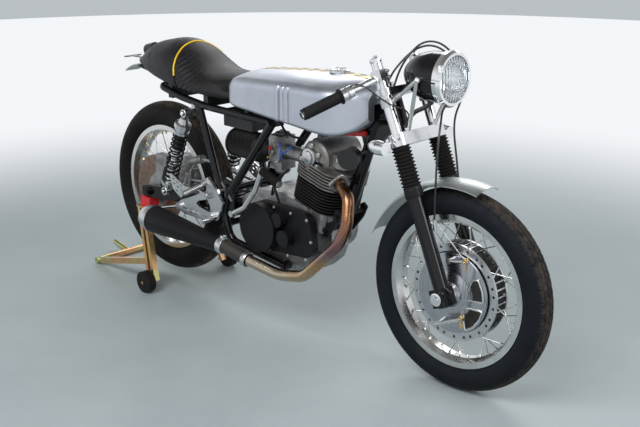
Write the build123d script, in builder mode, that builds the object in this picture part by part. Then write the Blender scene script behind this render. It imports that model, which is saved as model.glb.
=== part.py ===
"""Cafe racer motorcycle with a kick-start single engine, held upright by its paddock stand.

Row frame: +X forward, +Y to the machine's left, +Z up, floor at z = 0, middle of its length at x = 0.
All lengths are millimetres and all angles are degrees.
"""

import os
from math import cos, radians, sin, tan

from build123d import *

os.makedirs("parts", exist_ok=True)

# Stance
WHEELBASE = 1400.0
FRONT_AXLE_X = 760.0
FRONT_TYRE_R = 320.0
REAR_TYRE_R = 331.0
REAR_LIFT = 40.0
REAR_AXLE_X = FRONT_AXLE_X - WHEELBASE
REAR_AXLE_Z = REAR_TYRE_R + REAR_LIFT
FRONT_AXLE_Z = FRONT_TYRE_R

# Steering: the legs lean back by RAKE, and the stem runs YOKE_OFFSET behind them
RAKE = 23.1
AXLE_SETBACK = 8.0
YOKE_OFFSET = 55.0
STEER_AT_REST = 2.4
LEG_Y = 92.0

# Wheels
RIM_FLANGE_R = 242.8
RIM_SEAT_R = 228.0
RIM_WALL = 4.0
FRONT_RIM_HALF_W = 31.0
REAR_RIM_HALF_W = 35.0
FRONT_TYRE_HALF_W = 47.0
REAR_TYRE_HALF_W = 54.0
SPOKES = 36
SPOKE_R = 1.9
SPOKE_STAGGER = 1.2
AXLE_R = 8.5
BEARING_R = 10.0

# Engine: the cylinder leans forward by CYLINDER_LEAN from its seat on the crankcase
CYLINDER_LEAN = 15.5
CYLINDER_X = 190.0
CYLINDER_Z = 480.0
BARREL_HEIGHT = 96.0
HEAD_HEIGHT = 74.0
FIN_PITCH = 10.6
FIN_THICKNESS = 3.4
FIN_HALF = 102.0
FIN_CORNER = 62.0
CASE_HALF_W = 88.0

# Frame
BACKBONE_R = 25.0
DOWNTUBE_R = 20.0
RAIL_R = 13.0
RAIL_Y = 110.0
CRADLE_Y = 106.0
CRADLE_R = 14.0
PIVOT_X = -186.0
PIVOT_Z = 408.0

# Swingarm and suspension
ARM_Y = 112.0
ARM_WIDTH = 26.0
SHOCK_TOP = (-363.0, 722.0)
SHOCK_FOOT = (-493.0, 410.0)
SHOCK_Y = 150.0

def row_plane(x, z):
    """Plane across the machine at x, its own x to the left and its own y up."""
    return Plane(origin=(x, 0, z), x_dir=(0, 1, 0), z_dir=(1, 0, 0))


def side_plane(y):
    """Plane along the machine at y, its own x forward, its own y up, facing the right side."""
    return Plane(origin=(0, y, 0), x_dir=(1, 0, 0), z_dir=(0, -1, 0))


def turned_fork_plane():
    """Plane of the fork legs at the foot of their line, turned to the steering angle at rest."""
    up = Vector(-sin(radians(RAKE)), 0, cos(radians(RAKE)))
    ahead = Vector(cos(radians(RAKE)), 0, sin(radians(RAKE)))
    foot = Vector(FRONT_AXLE_X, 0, FRONT_AXLE_Z) + ahead * (AXLE_SETBACK - YOKE_OFFSET)
    turn = radians(STEER_AT_REST)
    forward = ahead * cos(turn) + Vector(0, 1, 0) * sin(turn)
    return Plane(origin=foot + forward * YOKE_OFFSET, x_dir=forward, z_dir=up)


FORK = turned_fork_plane()
STEM = Plane(
    origin=FORK.from_local_coords((-YOKE_OFFSET, 0, 0)), x_dir=FORK.x_dir, z_dir=FORK.z_dir
)
FRONT_WHEEL = Plane(
    origin=FORK.from_local_coords((-AXLE_SETBACK, 0, 0)), x_dir=FORK.x_dir, z_dir=FORK.y_dir
)
REAR_WHEEL = Plane(origin=(REAR_AXLE_X, 0, REAR_AXLE_Z), x_dir=(1, 0, 0), z_dir=(0, 1, 0))
CYLINDER = Plane(
    origin=(CYLINDER_X, 0, CYLINDER_Z),
    x_dir=(cos(radians(CYLINDER_LEAN)), 0, -sin(radians(CYLINDER_LEAN))),
    z_dir=(sin(radians(CYLINDER_LEAN)), 0, cos(radians(CYLINDER_LEAN))),
)


def on_fork(x, y, z):
    """Row position of a point given in the fork's own plane."""
    return FORK.from_local_coords((x, y, z))


def rod(start, end, radius, mode=Mode.ADD):
    """Add a round bar from one point to another."""
    start, end = Vector(*start), Vector(*end)
    with BuildSketch(Plane(start, z_dir=end - start)) as section:
        Circle(radius)
    extrude(section.sketch, amount=(end - start).length, mode=mode)


def tube(points, radius, bends, mode=Mode.ADD):
    """Add a round tube along straight runs joined by arcs."""
    with BuildLine() as route:
        FilletPolyline(*points, radius=bends)
    with BuildSketch(Plane(route.line @ 0, z_dir=route.line % 0)) as section:
        Circle(radius)
    sweep(section.sketch, path=route.line, mode=mode)


def beam(start, end, width, depth):
    """Add a square-edged bar whose width lies across the machine."""
    start, end = Vector(*start), Vector(*end)
    along = (end - start).normalized()
    across = (Vector(0, 1, 0) - along * along.Y).normalized()
    with BuildSketch(Plane(start, x_dir=across, z_dir=along)) as section:
        Rectangle(width, depth)
    extrude(section.sketch, amount=(end - start).length)


def cord(points, radius):
    """Add a hanging cable of straight runs joined by arcs as large as the runs allow."""
    points = [Vector(*point) for point in points]
    runs = [end - start for start, end in zip(points, points[1:])]
    bends = [
        0.45 * min(before.length, after.length) / tan(radians(before.get_angle(after)) / 2)
        for before, after in zip(runs, runs[1:])
    ]
    print("bend radii of the cable in mm:", *(round(bend) for bend in bends))
    tube(points, radius, bends)


def plate(plane, points, thickness, mode=Mode.ADD, both=False, corner=0.0):
    """Add a flat plate with the outline given in a plane."""
    with BuildSketch(plane) as section:
        with BuildLine():
            Polyline(*points, close=True)
        make_face()
        if corner:
            fillet(section.vertices(), corner)
    extrude(section.sketch, amount=thickness, both=both, mode=mode)


def keep(piece, label):
    """Label a finished piece and write it."""
    piece.part.label = label
    export_step(piece.part, "parts/" + label + ".step")


def rim_section(half_w):
    """Outline of a rim: flanges, bead seats and the well between them, radius along y."""
    inner = half_w - RIM_WALL
    Polyline(
        (-half_w, RIM_FLANGE_R),
        (-inner, RIM_FLANGE_R),
        (-inner, RIM_SEAT_R),
        (-inner + 7, RIM_SEAT_R),
        (-11, RIM_SEAT_R - 10),
        (11, RIM_SEAT_R - 10),
        (inner - 7, RIM_SEAT_R),
        (inner, RIM_SEAT_R),
        (inner, RIM_FLANGE_R),
        (half_w, RIM_FLANGE_R),
        (half_w, RIM_SEAT_R - 3),
        (14, RIM_SEAT_R - 15),
        (-14, RIM_SEAT_R - 15),
        (-half_w, RIM_SEAT_R - 3),
        close=True,
    )


def tyre_section(half_w, tread_r, rim_half_w, shoulder):
    """Outline of a tyre: flat foot between the rim flanges, round walls, crowned tread."""
    bead = rim_half_w - RIM_WALL
    wall_r = RIM_FLANGE_R + 0.44 * (tread_r - RIM_FLANGE_R)
    shoulder_r = tread_r - 0.2 * (tread_r - RIM_FLANGE_R)
    Polyline((-bead, RIM_FLANGE_R + 1), (-bead, RIM_SEAT_R), (bead, RIM_SEAT_R), (bead, RIM_FLANGE_R + 1))
    ThreePointArc((bead, RIM_FLANGE_R + 1), (half_w, wall_r), (shoulder, shoulder_r))
    ThreePointArc((shoulder, shoulder_r), (0, tread_r), (-shoulder, shoulder_r))
    ThreePointArc((-shoulder, shoulder_r), (-half_w, wall_r), (-bead, RIM_FLANGE_R + 1))


def crowned_section(plane, half_w, low, shoulder, high, top_corner, foot_corner):
    """Face across the machine with upright sides, a crowned top and rounded corners."""
    with BuildSketch(plane) as section:
        with BuildLine():
            Polyline((half_w, shoulder), (half_w, low), (-half_w, low), (-half_w, shoulder))
            ThreePointArc((-half_w, shoulder), (0, high), (half_w, shoulder))
        make_face()
        fillet(section.vertices().group_by(Axis.Y)[0], foot_corner)
        fillet(section.vertices().group_by(Axis.Y)[-1], top_corner)
    return section.sketch


def wheel_axis(wheel):
    """Axis of a wheel."""
    return Axis(wheel.origin, wheel.z_dir)


def section_plane(wheel):
    """Plane through a wheel's axis: its own x along the axle, its own y outwards."""
    return Plane(origin=wheel.origin, x_dir=wheel.z_dir, z_dir=wheel.y_dir)


def wheel_point(wheel, angle, radius, side):
    """Row position of a point on a wheel at an angle, a radius and a place along the axle."""
    return wheel.from_local_coords(
        (radius * cos(radians(angle)), radius * sin(radians(angle)), side)
    )


def lace(wheel, flange_r, right_side, left_side, cross_angle, rim_r):
    """Add the spokes of a wheel, from its hub flanges to the well of its rim."""
    step = 360.0 / SPOKES
    for number in range(SPOKES):
        rim_angle = number * step
        on_left = number % 2
        lean = 1 if number // 2 % 2 else -1
        flange_side = left_side if on_left else right_side
        outward = 1 if on_left else -1
        hub_end = wheel_point(
            wheel, rim_angle + lean * cross_angle, flange_r, flange_side + outward * lean * SPOKE_STAGGER
        )
        rim_end = wheel_point(wheel, rim_angle, rim_r, outward * (4 + lean * SPOKE_STAGGER))
        rod(hub_end, rim_end, SPOKE_R)


# Front wheel
FRONT_FLANGE_R = 154.0
FRONT_FLANGE_Y = 26.0
FLANGE_HOLE_R = 4.5
FLANGE_HOLE_INSET = 11.0
SPOKE_CIRCLE_INSET = 8.0
PANEL_R = 126.0

with BuildPart() as front_hub:
    with BuildSketch(section_plane(FRONT_WHEEL)):
        with BuildLine():
            Polyline(
                (-FRONT_FLANGE_Y - 3.5, FRONT_FLANGE_R),
                (-FRONT_FLANGE_Y + 3.5, FRONT_FLANGE_R),
                (-FRONT_FLANGE_Y + 3.5, FRONT_FLANGE_R - 18),
                (FRONT_FLANGE_Y - 3.5, FRONT_FLANGE_R - 18),
                (FRONT_FLANGE_Y - 3.5, FRONT_FLANGE_R),
                (FRONT_FLANGE_Y + 3.5, FRONT_FLANGE_R),
                (FRONT_FLANGE_Y + 3.5, FRONT_FLANGE_R - 20),
                (FRONT_FLANGE_Y + 14, 70),
                (FRONT_FLANGE_Y + 30, 32),
                (FRONT_FLANGE_Y + 30, BEARING_R),
                (-20, BEARING_R),
                (-20, PANEL_R - 6),
                (-FRONT_FLANGE_Y - 3.5, PANEL_R + 3),
                close=True,
            )
        make_face()
    revolve(axis=wheel_axis(FRONT_WHEEL))
    for rib in range(40):
        fin = Plane(
            origin=FRONT_WHEEL.origin,
            x_dir=wheel_point(FRONT_WHEEL, rib * 9.0, 1, 0) - FRONT_WHEEL.origin,
            z_dir=FRONT_WHEEL.z_dir,
        )
        with BuildSketch(fin.offset(-FRONT_FLANGE_Y + 3)):
            with Locations((FRONT_FLANGE_R - 14, 0)):
                Rectangle(12, 5)
        extrude(amount=2 * FRONT_FLANGE_Y - 6)
    for outward, first in ((-1, 30.0), (1, 40.0)):
        with BuildSketch(FRONT_WHEEL.offset(outward * FRONT_FLANGE_Y - 5)):
            for start in (first, first + 15, first + 25):
                with PolarLocations(FRONT_FLANGE_R - FLANGE_HOLE_INSET, 9, start_angle=start):
                    Circle(FLANGE_HOLE_R)
        extrude(amount=10, mode=Mode.SUBTRACT)
keep(front_hub, "front_hub")

with BuildPart() as front_rim:
    with BuildSketch(section_plane(FRONT_WHEEL)):
        with BuildLine():
            rim_section(FRONT_RIM_HALF_W)
        make_face()
    revolve(axis=wheel_axis(FRONT_WHEEL))
    lace(
        FRONT_WHEEL,
        FRONT_FLANGE_R - SPOKE_CIRCLE_INSET,
        -FRONT_FLANGE_Y,
        FRONT_FLANGE_Y,
        16.0,
        RIM_SEAT_R - 13,
    )
    add(front_hub.part, mode=Mode.SUBTRACT)
keep(front_rim, "front_rim")

with BuildPart() as front_tyre:
    with BuildSketch(section_plane(FRONT_WHEEL)):
        with BuildLine():
            tyre_section(FRONT_TYRE_HALF_W, FRONT_TYRE_R, FRONT_RIM_HALF_W, 34.0)
        make_face()
    revolve(axis=wheel_axis(FRONT_WHEEL))
keep(front_tyre, "front_tyre")

# Rear wheel
REAR_FLANGE_R = 66.0
REAR_FLANGE_Y = 38.0
DISC_R = 135.0
DISC_Y = -74.0
DISC_THICKNESS = 5.0
SPROCKET_Y = 76.0
SPROCKET_R = 104.0
CHAIN_GAP = 3.0
REAR_HUB_HALF_W = 84.0

with BuildPart() as rear_hub:
    with BuildSketch(section_plane(REAR_WHEEL)):
        with BuildLine():
            Polyline(
                (-REAR_HUB_HALF_W, BEARING_R),
                (-REAR_HUB_HALF_W, 26),
                (DISC_Y - DISC_THICKNESS / 2, 30),
                (DISC_Y - DISC_THICKNESS / 2, 62),
                (DISC_Y + DISC_THICKNESS / 2 + 4, 62),
                (DISC_Y + DISC_THICKNESS / 2 + 4, 34),
                (-REAR_FLANGE_Y - 4, 36),
                (-REAR_FLANGE_Y - 3, REAR_FLANGE_R),
                (-REAR_FLANGE_Y + 3, REAR_FLANGE_R),
                (-REAR_FLANGE_Y + 6, 40),
                (REAR_FLANGE_Y - 6, 40),
                (REAR_FLANGE_Y - 3, REAR_FLANGE_R),
                (REAR_FLANGE_Y + 3, REAR_FLANGE_R),
                (REAR_FLANGE_Y + 6, 50),
                (SPROCKET_Y - 4, 50),
                (SPROCKET_Y - 4, SPROCKET_R),
                (SPROCKET_Y + 4, SPROCKET_R),
                (SPROCKET_Y + 4, 36),
                (REAR_HUB_HALF_W, 30),
                (REAR_HUB_HALF_W, BEARING_R),
                close=True,
            )
        make_face()
    revolve(axis=wheel_axis(REAR_WHEEL))
keep(rear_hub, "rear_hub")

with BuildPart() as rear_disc:
    with BuildSketch(REAR_WHEEL.offset(DISC_Y - DISC_THICKNESS / 2)):
        Circle(DISC_R)
        Circle(62, mode=Mode.SUBTRACT)
        for radius, start in ((DISC_R - 18, 0), (DISC_R - 40, 10)):
            with PolarLocations(radius, 18, start_angle=start):
                SlotOverall(15, 3.2, mode=Mode.SUBTRACT)
    extrude(amount=DISC_THICKNESS)
keep(rear_disc, "rear_disc")

with BuildPart() as rear_rim:
    with BuildSketch(section_plane(REAR_WHEEL)):
        with BuildLine():
            rim_section(REAR_RIM_HALF_W)
        make_face()
    revolve(axis=wheel_axis(REAR_WHEEL))
    lace(
        REAR_WHEEL,
        REAR_FLANGE_R - 6,
        -REAR_FLANGE_Y,
        REAR_FLANGE_Y,
        38.0,
        RIM_SEAT_R - 13,
    )
    add(rear_hub.part, mode=Mode.SUBTRACT)
keep(rear_rim, "rear_rim")

with BuildPart() as rear_tyre:
    with BuildSketch(section_plane(REAR_WHEEL)):
        with BuildLine():
            tyre_section(REAR_TYRE_HALF_W, REAR_TYRE_R, REAR_RIM_HALF_W, 40.0)
        make_face()
    revolve(axis=wheel_axis(REAR_WHEEL))
keep(rear_tyre, "rear_tyre")

# Front fork
STANCHION_R = 17.5
SLIDER_R = 24.0
SLIDER_TOP = 338.0
SLIDER_FOOT = -30.0
LOWER_YOKE_Z = 469.0
LOWER_YOKE_HEIGHT = 38.0
UPPER_YOKE_Z = 624.0
UPPER_YOKE_HEIGHT = 22.0
STANCHION_TOP = 728.0
STEM_R = 12.5
HEADSTOCK_GAP = 5.0
HEADSTOCK_R = 29.0

with BuildPart(FORK) as fork_legs:
    for side in (-LEG_Y, LEG_Y):
        with Locations((0, side, SLIDER_FOOT)):
            Cylinder(SLIDER_R, SLIDER_TOP - SLIDER_FOOT, align=(Align.CENTER, Align.CENTER, Align.MIN))
        with Locations((-AXLE_SETBACK / 2, side, 0)):
            Box(62, 40, 56)
        with Locations((0, side, SLIDER_TOP - 26)):
            Cylinder(SLIDER_R + 4, 26, align=(Align.CENTER, Align.CENTER, Align.MIN))
        with Locations((0, side, 120)):
            Cylinder(STANCHION_R, SLIDER_TOP - 120, align=(Align.CENTER, Align.CENTER, Align.MIN), mode=Mode.SUBTRACT)
    rod(
        FRONT_WHEEL.from_local_coords((0, 0, -LEG_Y - 27)),
        FRONT_WHEEL.from_local_coords((0, 0, LEG_Y + 27)),
        AXLE_R,
    )
keep(fork_legs, "fork_legs")

with BuildPart(FORK) as stanchions:
    for side in (-LEG_Y, LEG_Y):
        with Locations((0, side, 120)):
            Cylinder(STANCHION_R, STANCHION_TOP - 120, align=(Align.CENTER, Align.CENTER, Align.MIN))
keep(stanchions, "stanchions")

GAITER_FOOT = SLIDER_TOP
GAITER_TOP = LOWER_YOKE_Z
GAITER_FOLDS = 11
GAITER_OUT_R = 30.0
GAITER_IN_R = 25.0

with BuildPart() as fork_gaiters:
    pitch = (GAITER_TOP - GAITER_FOOT) / GAITER_FOLDS
    for side in (-LEG_Y, LEG_Y):
        leg = Plane(origin=on_fork(0, side, GAITER_FOOT), x_dir=FORK.x_dir, z_dir=FORK.z_dir)
        with BuildSketch(Plane(origin=leg.origin, x_dir=leg.x_dir, z_dir=-leg.y_dir)):
            with BuildLine():
                wall = [(GAITER_IN_R, 0)]
                for fold in range(GAITER_FOLDS):
                    wall.append((GAITER_OUT_R, (fold + 0.5) * pitch))
                    wall.append((GAITER_IN_R, (fold + 1) * pitch))
                Polyline((STANCHION_R + 2, 0), *wall, (STANCHION_R + 2, GAITER_TOP - GAITER_FOOT), close=True)
            make_face()
        revolve(axis=Axis(leg.origin, leg.z_dir))
keep(fork_gaiters, "fork_gaiters")

with BuildPart() as fork_yokes:
    for height, thickness, leg_r, stem_r in (
        (LOWER_YOKE_Z, LOWER_YOKE_HEIGHT, 29.0, 30.0),
        (UPPER_YOKE_Z, UPPER_YOKE_HEIGHT, 27.0, 25.0),
    ):
        with BuildSketch(FORK.offset(height)):
            with Locations((0, -LEG_Y), (0, LEG_Y)):
                Circle(leg_r)
            with Locations((-YOKE_OFFSET, 0)):
                Circle(stem_r)
            make_hull()
            with Locations((0, -LEG_Y), (0, LEG_Y)):
                Circle(STANCHION_R, mode=Mode.SUBTRACT)
        extrude(amount=thickness)
    rod(
        on_fork(-YOKE_OFFSET, 0, LOWER_YOKE_Z),
        on_fork(-YOKE_OFFSET, 0, UPPER_YOKE_Z + UPPER_YOKE_HEIGHT + 12),
        STEM_R,
    )
keep(fork_yokes, "fork_yokes")

# Bars, given by two points of the right grip's middle line
GRIP_INNER = (471.0, -230.0, 909.0)
GRIP_OUTER = (428.0, -340.0, 865.0)
BAR_R = 11.0
GRIP_R = 17.0
CLAMP_Z = 668.0
CLAMP_HEIGHT = 34.0
MIRROR_FORK = Plane(origin=FORK.origin, x_dir=FORK.x_dir, z_dir=FORK.y_dir)
bar_run = Vector(*GRIP_OUTER) - Vector(*GRIP_INNER)
bar_along = bar_run.normalized()
bar_start = Vector(*GRIP_INNER) - bar_along * 118
bar_end = Vector(*GRIP_OUTER) + bar_along * 6

with BuildPart() as clip_on_bars:
    rod(bar_start, bar_end, BAR_R)
    rod(Vector(*GRIP_INNER) - bar_along * 42, Vector(*GRIP_INNER) - bar_along * 4, 19.0)
    with BuildSketch(FORK.offset(CLAMP_Z)):
        with Locations((0, -LEG_Y)):
            Circle(STANCHION_R + 9)
        with Locations((16, -LEG_Y - 22)):
            Rectangle(34, 30)
    extrude(amount=CLAMP_HEIGHT)
    with BuildSketch(FORK.offset(CLAMP_Z)):
        with Locations((0, -LEG_Y)):
            Circle(STANCHION_R)
    extrude(amount=CLAMP_HEIGHT, mode=Mode.SUBTRACT)
    rod(bar_end - bar_along * 40, bar_end + bar_along, 8.0, mode=Mode.SUBTRACT)
    mirror(about=MIRROR_FORK)
keep(clip_on_bars, "clip_on_bars")

with BuildPart() as grips:
    rod(Vector(*GRIP_INNER) - bar_along * 4, Vector(*GRIP_INNER), 24.0)
    rod(Vector(*GRIP_INNER), Vector(*GRIP_OUTER), GRIP_R)
    rod(Vector(*GRIP_INNER) - bar_along * 5, Vector(*GRIP_OUTER) + bar_along, BAR_R, mode=Mode.SUBTRACT)
    mirror(about=MIRROR_FORK)
keep(grips, "grips")

# Headlight
LAMP_X = 706.0
LAMP_Z = 962.0
LAMP_R = 78.0
LAMP_DEPTH = 172.0
lamp_forward = Vector(cos(radians(STEER_AT_REST)), sin(radians(STEER_AT_REST)), 0)
LAMP = Plane(
    origin=(LAMP_X, (LAMP_X - STEM.origin.X) * sin(radians(STEER_AT_REST)), LAMP_Z),
    x_dir=lamp_forward,
    z_dir=(-sin(radians(STEER_AT_REST)), cos(radians(STEER_AT_REST)), 0),
)
LAMP_SECTION = Plane(origin=LAMP.origin, x_dir=lamp_forward, z_dir=lamp_forward.cross(Vector(0, 0, 1)))
LAMP_AXIS = Axis(LAMP.origin, lamp_forward)

with BuildPart() as headlight_shell:
    with BuildSketch(LAMP_SECTION):
        with BuildLine():
            Line((-18, LAMP_R), (-58, LAMP_R - 2))
            ThreePointArc((-58, LAMP_R - 2), (-135, LAMP_R - 26), (-LAMP_DEPTH, 14))
            Polyline((-LAMP_DEPTH, 14), (-LAMP_DEPTH, 0), (-LAMP_DEPTH + 5, 0), (-LAMP_DEPTH + 5, 12))
            ThreePointArc((-LAMP_DEPTH + 5, 12), (-131, LAMP_R - 31), (-56, LAMP_R - 7))
            Polyline((-56, LAMP_R - 7), (-18, LAMP_R - 5), (-18, LAMP_R))
        make_face()
    revolve(axis=LAMP_AXIS)
keep(headlight_shell, "headlight_shell")

with BuildPart() as headlight_rim:
    with BuildSketch(LAMP_SECTION):
        with BuildLine():
            Polyline(
                (-18, LAMP_R - 8),
                (-18, LAMP_R + 4),
                (-2, LAMP_R + 6),
                (8, LAMP_R),
                (8, LAMP_R - 8),
                close=True,
            )
        make_face()
    revolve(axis=LAMP_AXIS)
keep(headlight_rim, "headlight_rim")

with BuildPart() as headlight_lens:
    with BuildSketch(LAMP_SECTION):
        with BuildLine():
            Polyline((14, 8), (14, 0), (-4, 0), (-4, LAMP_R - 8), (2, LAMP_R - 8))
            ThreePointArc((2, LAMP_R - 8), (11, LAMP_R / 2), (14, 8))
        make_face()
    revolve(axis=LAMP_AXIS)
keep(headlight_lens, "headlight_lens")

with BuildPart() as headlight_reflector:
    with BuildSketch(LAMP_SECTION):
        with BuildLine():
            Line((-6, LAMP_R - 8), (-12, LAMP_R - 8))
            ThreePointArc((-12, LAMP_R - 8), (-50, 46), (-74, 12))
            Polyline((-74, 12), (-74, 0), (-71, 0), (-71, 10))
            ThreePointArc((-71, 10), (-47, 44), (-6, LAMP_R - 11))
            Line((-6, LAMP_R - 11), (-6, LAMP_R - 8))
        make_face()
    revolve(axis=LAMP_AXIS)
keep(headlight_reflector, "headlight_reflector")

LAMP_BOLT = (-66.0, LAMP_R - 2.0)

with BuildPart() as headlight_brackets:
    bolt = LAMP_SECTION.from_local_coords((LAMP_BOLT[0], 0, LAMP_BOLT[1] + 10))
    rod(LAMP_SECTION.from_local_coords((LAMP_BOLT[0], 0, LAMP_BOLT[1] - 2)), bolt, 9.0)
    rod(bolt, on_fork(STANCHION_R + 4, -LEG_Y, UPPER_YOKE_Z - 22), 6.0)
    rod(bolt, on_fork(26, -64, LOWER_YOKE_Z + LOWER_YOKE_HEIGHT + 2), 6.0)
    with BuildSketch(FORK.offset(UPPER_YOKE_Z - 34)):
        with Locations((0, -LEG_Y)):
            Circle(STANCHION_R + 5)
            Circle(STANCHION_R, mode=Mode.SUBTRACT)
    extrude(amount=24)
    rod(
        on_fork(22, -64, LOWER_YOKE_Z + LOWER_YOKE_HEIGHT),
        on_fork(22, -64, LOWER_YOKE_Z + LOWER_YOKE_HEIGHT + 10),
        9.0,
    )
    rod(
        LAMP_SECTION.from_local_coords((LAMP_BOLT[0], 0, 0)),
        LAMP_SECTION.from_local_coords((LAMP_BOLT[0], 0, LAMP_R - 6)),
        14.0,
        mode=Mode.SUBTRACT,
    )
    mirror(about=MIRROR_FORK)
    add(headlight_shell.part, mode=Mode.SUBTRACT)
    add(fork_yokes.part, mode=Mode.SUBTRACT)
    add(stanchions.part, mode=Mode.SUBTRACT)
keep(headlight_brackets, "headlight_brackets")

with BuildPart() as indicators:
    for side in (-1, 1):
        tail = on_fork(-66, side * 158, 500)
        nose = tail + Vector(1, 0, 0) * 74
        with BuildSketch(Plane(origin=tail, x_dir=(1, 0, 0), z_dir=(0, -1, 0))):
            with BuildLine():
                Line((0, 0), (74, 0))
                Line((74, 0), (74, 21))
                Line((74, 21), (52, 22.5))
                ThreePointArc((52, 22.5), (16, 15), (0, 0))
            make_face()
        revolve(axis=Axis(tail, (1, 0, 0)))
        rod(on_fork(-10, side * (LEG_Y + 20), 488), tail + Vector(50, -side * 18, 0), 6.0)
    add(fork_yokes.part, mode=Mode.SUBTRACT)
keep(indicators, "indicators")

with BuildPart() as stem_nut:
    rod(
        on_fork(-YOKE_OFFSET, 0, UPPER_YOKE_Z + UPPER_YOKE_HEIGHT + 12),
        on_fork(-YOKE_OFFSET, 0, UPPER_YOKE_Z + UPPER_YOKE_HEIGHT + 24),
        17.0,
    )
keep(stem_nut, "stem_nut")

# Front mudguard: a crowned strip round the tyre
GUARD_R = 342.0
GUARD_HALF_W = 56.0
GUARD_THICKNESS = 2.5
GUARD_START = 76.0
GUARD_SWEEP = 82.0

with BuildPart() as front_mudguard:
    start = radians(GUARD_START - RAKE)
    radial = FRONT_WHEEL.x_dir * cos(start) - FRONT_WHEEL.y_dir * sin(start)
    guard_plane = Plane(
        origin=FRONT_WHEEL.origin, x_dir=FRONT_WHEEL.z_dir, z_dir=FRONT_WHEEL.z_dir.cross(radial)
    )
    with BuildSketch(guard_plane):
        with BuildLine():
            ThreePointArc((-GUARD_HALF_W, GUARD_R - 10), (0, GUARD_R + 6), (GUARD_HALF_W, GUARD_R - 10))
            Line((GUARD_HALF_W, GUARD_R - 10), (GUARD_HALF_W, GUARD_R - 10 - GUARD_THICKNESS))
            ThreePointArc(
                (GUARD_HALF_W, GUARD_R - 10 - GUARD_THICKNESS),
                (0, GUARD_R + 6 - GUARD_THICKNESS),
                (-GUARD_HALF_W, GUARD_R - 10 - GUARD_THICKNESS),
            )
            Line((-GUARD_HALF_W, GUARD_R - 10 - GUARD_THICKNESS), (-GUARD_HALF_W, GUARD_R - 10))
        make_face()
    revolve(axis=Axis(FRONT_WHEEL.origin, -FRONT_WHEEL.z_dir), revolution_arc=GUARD_SWEEP)
    for side in (-1, 1):
        rod(on_fork(0, side * (LEG_Y - SLIDER_R - 6), SLIDER_TOP - 12), on_fork(0, side * (GUARD_HALF_W - 3), SLIDER_TOP - 8), 9.0)
    add(fork_legs.part, mode=Mode.SUBTRACT)
keep(front_mudguard, "front_mudguard")

# Front brake: the panel is held by the fork, and its two levers share one rod
PANEL_Y = -FRONT_FLANGE_Y - 9.0
LEVER_Y = -66.0

with BuildPart() as brake_panel:
    with BuildSketch(section_plane(FRONT_WHEEL)):
        with BuildLine():
            Polyline(
                (PANEL_Y, AXLE_R),
                (PANEL_Y, PANEL_R),
                (PANEL_Y - 6, PANEL_R),
                (PANEL_Y - 12, 70),
                (PANEL_Y - 20, 40),
                (-LEG_Y + 20, 26),
                (-LEG_Y + 20, AXLE_R),
                close=True,
            )
        make_face()
    revolve(axis=wheel_axis(FRONT_WHEEL))
    add(fork_legs.part, mode=Mode.SUBTRACT)
keep(brake_panel, "brake_panel")

# Front brake levers: pivots and clevises measured beside the panel, and the stop of the cable
CABLE_R = 3.2
CABLE_STOP = Vector(706, -66, 548)
BRAKE_LEVERS = (((767, 432), (830, 444)), ((722, 214), (824, 262)))

with BuildPart() as brake_levers:
    for pivot, end in BRAKE_LEVERS:
        rod((pivot[0], PANEL_Y - 4, pivot[1]), (pivot[0], LEVER_Y - 5, pivot[1]), 8.0)
        rod((pivot[0], LEVER_Y, pivot[1]), (end[0], LEVER_Y, end[1]), 5.5)
        rod((end[0], LEVER_Y + 9, end[1]), (end[0], LEVER_Y - 9, end[1]), 7.5)
    for shift in (-6, 6):
        rod(
            (BRAKE_LEVERS[0][1][0], LEVER_Y + shift, BRAKE_LEVERS[0][1][1]),
            (BRAKE_LEVERS[1][1][0], LEVER_Y + shift, BRAKE_LEVERS[1][1][1]),
            1.8,
        )
    rod(CABLE_STOP, (BRAKE_LEVERS[0][1][0], LEVER_Y, BRAKE_LEVERS[0][1][1]), 1.5)
    rod(CABLE_STOP, CABLE_STOP - Vector(-5, 0, 34), CABLE_R + 2.5)
    rod(CABLE_STOP - Vector(-2, 0, 16), on_fork(17.5, 14.5 - LEG_Y, 226), 5.0)
    add(brake_panel.part, mode=Mode.SUBTRACT)
    add(fork_legs.part, mode=Mode.SUBTRACT)
keep(brake_levers, "brake_levers")

# Frame: headstock, backbone and downtube
HEADSTOCK_FOOT = LOWER_YOKE_Z + LOWER_YOKE_HEIGHT + HEADSTOCK_GAP
HEADSTOCK_TOP = UPPER_YOKE_Z - HEADSTOCK_GAP
BACKBONE_FRONT = (470.0, 0.0, 815.0)
BACKBONE_END = (-86.0, 0.0, 760.0)
DOWNTUBE_TOP = (418.0, 0.0, 800.0)
DOWNTUBE_FOOT = (276.0, 0.0, 422.0)
CRADLE_Z = 264.0
CRADLE_FRONT_X = 102.0
LUG_R = 17.0

with BuildPart() as frame_backbone:
    rod(on_fork(-YOKE_OFFSET, 0, HEADSTOCK_FOOT), on_fork(-YOKE_OFFSET, 0, HEADSTOCK_TOP), HEADSTOCK_R)
    rod(BACKBONE_FRONT, BACKBONE_END, BACKBONE_R)
    rod(DOWNTUBE_TOP, DOWNTUBE_FOOT, DOWNTUBE_R)
    rod((BACKBONE_END[0], -RAIL_Y, 752), (BACKBONE_END[0], RAIL_Y, 752), 14.0)
    plate(
        Plane.XZ,
        [(500, 790), (470, 835), (330, 800), (372, 690), (400, 690)],
        9.0,
        both=True,
    )
    rod(on_fork(-YOKE_OFFSET, 0, HEADSTOCK_FOOT - 1), on_fork(-YOKE_OFFSET, 0, HEADSTOCK_TOP + 1), STEM_R + 4.5, mode=Mode.SUBTRACT)
keep(frame_backbone, "frame_backbone")

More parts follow.
